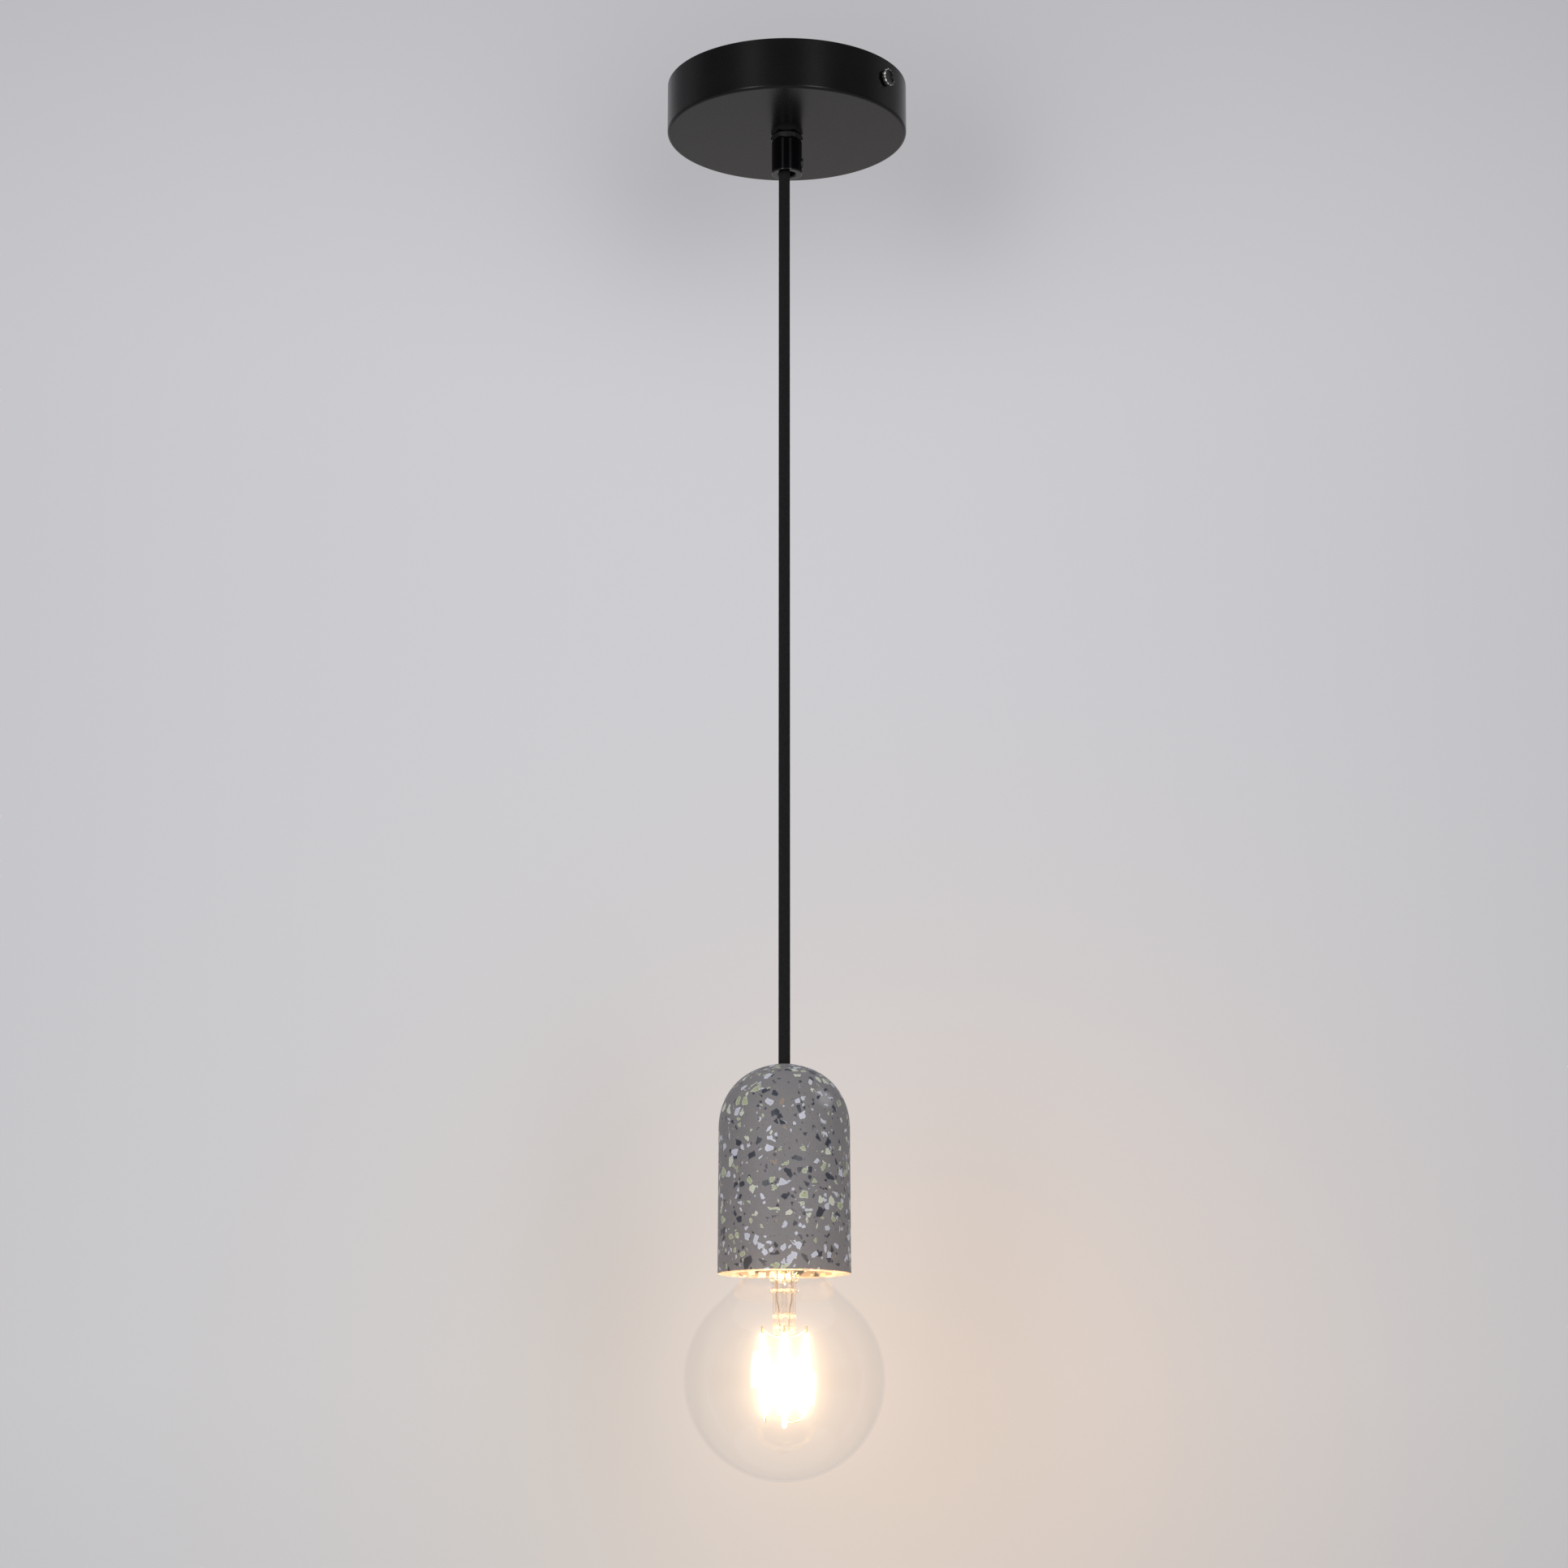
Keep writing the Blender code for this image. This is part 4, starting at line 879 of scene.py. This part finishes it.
def globe_outline():
    """Neck, a flare that meets the globe at 45 degrees, the globe, and the inner face."""
    reach, pull = GLOBE_RADIUS * sqrt(0.5), GLOBE_PULL * sqrt(0.5)
    corners = ((NECK_RADIUS, NECK_TOP), (NECK_RADIUS, NECK_TOP - NECK_PULL),
               (reach - pull, GLOBE_Z + reach + pull), (reach, GLOBE_Z + reach))
    outer = []
    for i in range(29):
        t = i / 28
        weights = ((1 - t) ** 3, 3 * t * (1 - t) ** 2, 3 * t * t * (1 - t), t ** 3)
        outer.append(tuple(sum(w * p[k] for w, p in zip(weights, corners)) for k in (0, 1)))
    for step in range(1, 49):
        angle = pi / 4 + step / 48 * pi * 3 / 4
        outer.append((GLOBE_RADIUS * sin(angle) * (step < 48), GLOBE_Z + GLOBE_RADIUS * cos(angle)))
    inner = []
    for i, (radius, height) in enumerate(outer):
        before, after = outer[max(i - 1, 0)], outer[min(i + 1, len(outer) - 1)]
        run = Vector((after[0] - before[0], after[1] - before[1])).normalized()
        inner.append((max(0.0, radius + run.y * GLASS), height - run.x * GLASS))
    inner[0] = (NECK_RADIUS - GLASS, NECK_TOP)
    inner[-1] = (0.0, GLOBE_Z - GLOBE_RADIUS + GLASS)
    return list(reversed(inner)) + outer


def make_stem():
    """A glass tube, flared above and pressed shut below, with a thin exhaust tube inside it."""
    wide, bore, end = 5.5, 4.4, STEM_END
    flare = [(r, NECK_TOP - drop) for r, drop in ((11.0, 2.2), (9.6, 4.4), (7.8, 6.8), (6.4, 9.0))]
    beads = []
    for middle in BEAD_HEIGHTS:
        angles = [radians(a) for a in (60, 30, 0, -30, -60)]
        beads += [(wide, middle + 2.0),
                  *[(wide + BEAD_WIDE * cos(a), middle + BEAD_HIGH * sin(a)) for a in angles],
                  (wide, middle - 2.0)]
    outside = [*flare, (wide, NECK_TOP - 12.0), *beads, (wide, end + 7.2), (5.6, end + 5.0),
               (5.4, end + 2.0), (4.4, end + 0.6), (3.2, end), (0, end)]
    inside = [(0, end + 8.4), (2.6, end + 8.9), (bore, end + 11.4), (bore, NECK_TOP - 12.4),
              *[(r - 1.0, z) for r, z in reversed(flare[1:])], (10.2, NECK_TOP - 2.2)]
    outlines = (outside, inside, [inside[-1], outside[0]])
    verts, faces = join([lathe(outline, 64, False, HANG_AXIS) for outline in outlines])
    stem = add_mesh("lamp_stem", verts, faces, "stem_glass", "bulb", ("bulb_stem",))
    shape = bmesh.new()
    shape.from_mesh(stem.data)
    bmesh.ops.remove_doubles(shape, verts=shape.verts, dist=0.000005)
    bmesh.ops.recalc_face_normals(shape, faces=shape.faces)
    shape.to_mesh(stem.data)
    shape.free()
    top = NECK_TOP - 1.0
    turned("lamp_exhaust_tube", [(1.5, top), (1.5, end + 10.6), (0.9, end + 10.2), (0.9, top)],
           "stem_glass", "bulb", sides=32, centre=HANG_AXIS)


def filament_spot(index, ring_radius, height, lean=0.0):
    """A point at a filament's direction from the axis."""
    angle = (index + 0.5) / FILAMENTS * TURN + lean
    return Vector((HEAD_X + ring_radius * cos(angle), ring_radius * sin(angle), height))


def make_filaments():
    for index in range(FILAMENTS):
        top = filament_spot(index, TOP_RING, FILAMENT_TOP)
        run = filament_spot(index, LOW_RING, FILAMENT_LOW, FILAMENT_LEAN) - top
        steps = [0.02, 0.028, 0.04, *[0.04 + 0.92 * k / 12 for k in range(1, 12)], 0.96, 0.972, 0.98]
        verts, faces = tube([top + run * t for t in steps], FILAMENT_RADIUS, 16)
        add_mesh(f"lamp_filament_{index + 1}", verts, faces, "filament", "bulb",
                 (f"filament_{index + 1}",))


def make_wire(name, parts, replaced):
    verts, faces = join(parts)
    add_mesh(name, verts, faces, "lead_wire", "bulb", (replaced,))


def make_lamp_wires():
    """The bare wires that hold and join the filaments, and the two leads inside the stem."""
    hub_z = STEM_END - 0.9
    hub = [(0, hub_z + 0.5), (2.9, hub_z + 0.5), (3.3, hub_z + 0.2), (3.3, hub_z - 0.2),
           (2.9, hub_z - 0.5), (0, hub_z - 0.5)]
    parts = [lathe(hub, 48, False, HANG_AXIS)]
    up = Vector((0, 0, 1.0))
    for index in range(FILAMENTS):
        arm = [filament_spot(index, 2.6, hub_z), filament_spot(index, 7.0, hub_z + 0.9),
               filament_spot(index, TOP_RING - 0.7, FILAMENT_TOP + 1.35),
               filament_spot(index, TOP_RING + 0.35, FILAMENT_TOP + 1.75)]
        down = filament_spot(index, TOP_RING, FILAMENT_TOP + 0.2)
        parts.append(tube(smooth_route(arm, 6), 0.3))
        parts.append(tube([down + 2.6 * up, down + up, down - 0.9 * up], 0.42))
    make_wire("lamp_wire_star", parts, "filament_frame")
    for pair, label in enumerate("abc"):
        one, two = (filament_spot(2 * pair + k, LOW_RING, FILAMENT_LOW, FILAMENT_LEAN) for k in (0, 1))
        knots = [one + 0.9 * up, one - 1.2 * up, (one + two) / 2 - 3.4 * up, two - 1.2 * up,
                 two + 0.9 * up]
        make_wire("lamp_link_" + label, [tube(smooth_route(knots, 6), 0.24)], "filament_link_" + label)
    for side, label in ((-1, "a"), (1, "b")):
        knots = [(3.0, 0, NECK_TOP + 1.0), (3.2, -0.4, NECK_TOP - 12.0),
                 (3.5, -0.9, (NECK_TOP + STEM_END) / 2 - 4), (2.6, 0.3, STEM_END + 12.0),
                 (2.2, 0, STEM_END + 2.0)]
        route = smooth_route([(HEAD_X + side * x, y, z) for x, y, z in knots], 8)
        make_wire("lamp_lead_" + label, [tube(route, 0.3)], "lead_wire_" + label)


# ---- CAD nodes that stay
OTHER_LOOKS = {"bracket_earth_screw": "zinc_steel"}


def dress_cad():
    """Give every CAD node that stays visible the look of its slot, or its other look."""
    for name, node in frame["nodes"].items():
        if name not in STOOD_FOR:
            look = OTHER_LOOKS.get(name, node.data.materials[0].name)
            node.data.materials.clear()
            node.data.materials.append(LOOKS[look])
            smooth(node, 32)


# ---- stage
STAGE_RADIUS = 2600.0
STAGE_FLOOR = -1250.0
STAGE_SWEEP = 500.0  # radius of the curve from the floor to the wall

# The stage is painted in metres and radians; levels are emitted light, where 1 is white.
FRONT_LEVEL, BACK_LEVEL, FLOOR_LEVEL, PANEL_LEVEL = 0.08, 0.503, 0.39, 0.35
DARK_TO_PALE = (1.45, 2.3)  # azimuths between which the wall turns pale
PANELS = ((-0.56, 0.15), (0.45, 0.13))  # azimuth and half width
TOP_DIM, SIDE_DIM, LOW_DIM = 0.18, 0.055, 0.07  # how much darker high up, to the sides and low down
MOST_DIM = 0.3
SHADOWS = [  # x, z, half widths and darkness of the light's soft shadows
    (0.03, 1.06, 0.24, 0.16, 0.11),
    (-0.156, 0.98, 0.08, 0.09, 0.04), (0.24, 0.99, 0.07, 0.09, 0.045),
    (-0.226, -0.4, 0.075, 0.2, 0.05), (0.234, -0.42, 0.07, 0.17, 0.03),
]
GLOWS = [  # x and z with their half widths, and the light that is added
    ((0.18, 0.34), (-0.58, 0.33), (0.14, 0.04, -0.018)),
    ((0.06, 0.52), (-0.62, 0.42), (0.0, -0.005, -0.05)),
]
STAGE_COLOUR, STAGE_MOTTLE = (0.2, 0.199, 0.203), (0.195, 0.194, 0.198)
STAGE_TINT = (1.0, 0.99, 1.035)


def stage_paint():
    """Pale paint lit softly, with the lamp's warm glow and the light's own soft shadows behind it.

    Beside and behind the viewer the room is dark but for two tall soft panels.
    """
    look = Material("stage_paint", STAGE_COLOUR, 0.95)
    spot = look.axes()
    x, y, z = spot["X"], spot["Y"], spot["Z"]
    behind = look.remap(y, 0.6, 1.6)

    top = look.times(look.maths("POWER", look.remap(z, 0.68, 1.68), 1.5), TOP_DIM)
    sideways = look.times(look.plus(x, 0.12), 1.08)
    low = look.remap(z, -0.55, -1.2, 0.0, LOW_DIM)
    dim = look.plus(top, look.times(sideways, sideways, SIDE_DIM), low)
    for middle_x, middle_z, wide, high, amount in SHADOWS:
        dim = look.plus(dim, look.times(look.hill((x, middle_x, wide), (z, middle_z, high)), amount))
    dim = look.times(look.maths("MINIMUM", dim, MOST_DIM), behind)

    azimuth = look.maths("ARCTAN2", x, look.times(y, -1.0))
    ring = look.remap(look.maths("ABSOLUTE", azimuth), *DARK_TO_PALE, FRONT_LEVEL, BACK_LEVEL)
    for middle, width in PANELS:
        ring = look.plus(ring, look.times(look.hill((azimuth, middle, width)), PANEL_LEVEL))
    floor = look.remap(z, -1.0, -1.24)
    ring = look.plus(look.times(ring, look.minus(1.0, floor)), look.times(floor, FLOOR_LEVEL))

    colour = look.vectors("SCALE", STAGE_TINT, look.minus(ring, dim))
    seen = look.times(behind, look.remap(z, -1.05, -0.8))
    for across, upright, tint in GLOWS:
        glow = look.times(look.hill((x, *across), (z, *upright)), seen)
        colour = look.vectors("ADD", colour, look.vectors("SCALE", tint, glow))
    look.drive(Base_Color=look.mix(look.noise(0.003, 2.0), STAGE_COLOUR, STAGE_MOTTLE),
               Emission_Color=colour, Emission_Strength=1.0)
    return look.data


def make_stage():
    """A pale round cove: a plain floor that sweeps up into a wall, open above."""
    inner = STAGE_RADIUS - STAGE_SWEEP
    outline = [(0, STAGE_FLOOR), (900, STAGE_FLOOR), (inner, STAGE_FLOOR),
               *arc((inner, STAGE_FLOOR + STAGE_SWEEP), STAGE_SWEEP, -90, 0, 14)[1:],
               (STAGE_RADIUS, 400.0), (STAGE_RADIUS, 2300.0)]
    cove = make_object("stage_cove", *lathe(outline, 96, False))
    cove.data.shade_smooth()
    cove.data.materials.append(stage_paint())


# ---- light
BLOOM = {"Threshold": 1.2, "Strength": 0.235, "Size": 0.28}
WORLD_COLOUR, WORLD_STRENGTH = (0.92, 0.95, 1.0, 1.0), 0.72
SOFT_PANELS = [("soft_panel_left", (-1.25, -1.95, -0.25), 12.6),  # place in metres, watts
               ("soft_panel_right", (1.0, -2.05, -0.25), 11.6)]
SOFT_PANEL_AIM = (0, 0, -0.25)
SOFT_PANEL_SIZE = (0.5, 1.7)
SOFT_PANEL_COLOUR = (1.0, 0.985, 0.985)
LAMP_WATTS, LAMP_COLOUR, LAMP_SIZE = 0.7, (1.0, 0.56, 0.22), 0.01
SEE_THROUGH = 24  # how many clear surfaces a ray may cross


def make_bloom(scene):
    """The soft halo that a lens puts round the lit filaments."""
    scene.use_nodes = True
    tree = scene.node_tree
    tree.nodes.clear()
    layers, glare, out = (tree.nodes.new("CompositorNode" + kind)
                          for kind in ("RLayers", "Glare", "Composite"))
    glare.glare_type = "BLOOM"
    glare.quality = "HIGH"
    for name, value in BLOOM.items():
        glare.inputs[name].default_value = value
    tree.links.new(layers.outputs["Image"], glare.inputs["Image"])
    tree.links.new(glare.outputs["Image"], out.inputs["Image"])


def light(name, kind, place, watts, colour):
    data = bpy.data.lights.new(name, kind)
    data.energy = watts
    data.color = colour
    lamp = bpy.data.objects.new(name, data)
    PARTS.objects.link(lamp)
    lamp.location = place
    return lamp


def make_lights():
    """Two tall soft panels behind the viewer, a dim even room, and the lamp's own light."""
    scene = bpy.context.scene
    scene.view_settings.view_transform = "Standard"
    scene.cycles.transparent_max_bounces = SEE_THROUGH
    make_bloom(scene)
    world = bpy.data.worlds.new("soft_room")
    world.use_nodes = True
    room = world.node_tree.nodes["Background"]
    room.inputs["Color"].default_value = WORLD_COLOUR
    room.inputs["Strength"].default_value = WORLD_STRENGTH
    scene.world = world

    for name, place, watts in SOFT_PANELS:
        panel = light(name, "AREA", place, watts, SOFT_PANEL_COLOUR)
        panel.data.shape = "RECTANGLE"
        panel.data.size, panel.data.size_y = SOFT_PANEL_SIZE
        sight = Vector(SOFT_PANEL_AIM) - Vector(place)
        panel.rotation_euler = sight.to_track_quat("-Z", "Y").to_euler()
        panel.visible_camera = False

    middle = (HEAD_X * MM, 0, (FILAMENT_TOP + FILAMENT_LOW) / 2 * MM)
    glow = light("lamp_glow", "POINT", middle, LAMP_WATTS, LAMP_COLOUR)
    glow.data.shadow_soft_size = LAMP_SIZE
    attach(glow, "bulb")


# ---- all of it
make_camera()
make_cord()
make_canopy()
make_thumb_screws()
make_grip()
make_nut()
make_shade()
make_lampholder()
make_threads()
turned("lamp_globe", globe_outline(), "clear_glass", "bulb", ("bulb_globe",), sides=160, closed=False,
       centre=HANG_AXIS)
make_stem()
make_filaments()
make_lamp_wires()
dress_cad()
make_stage()
make_lights()
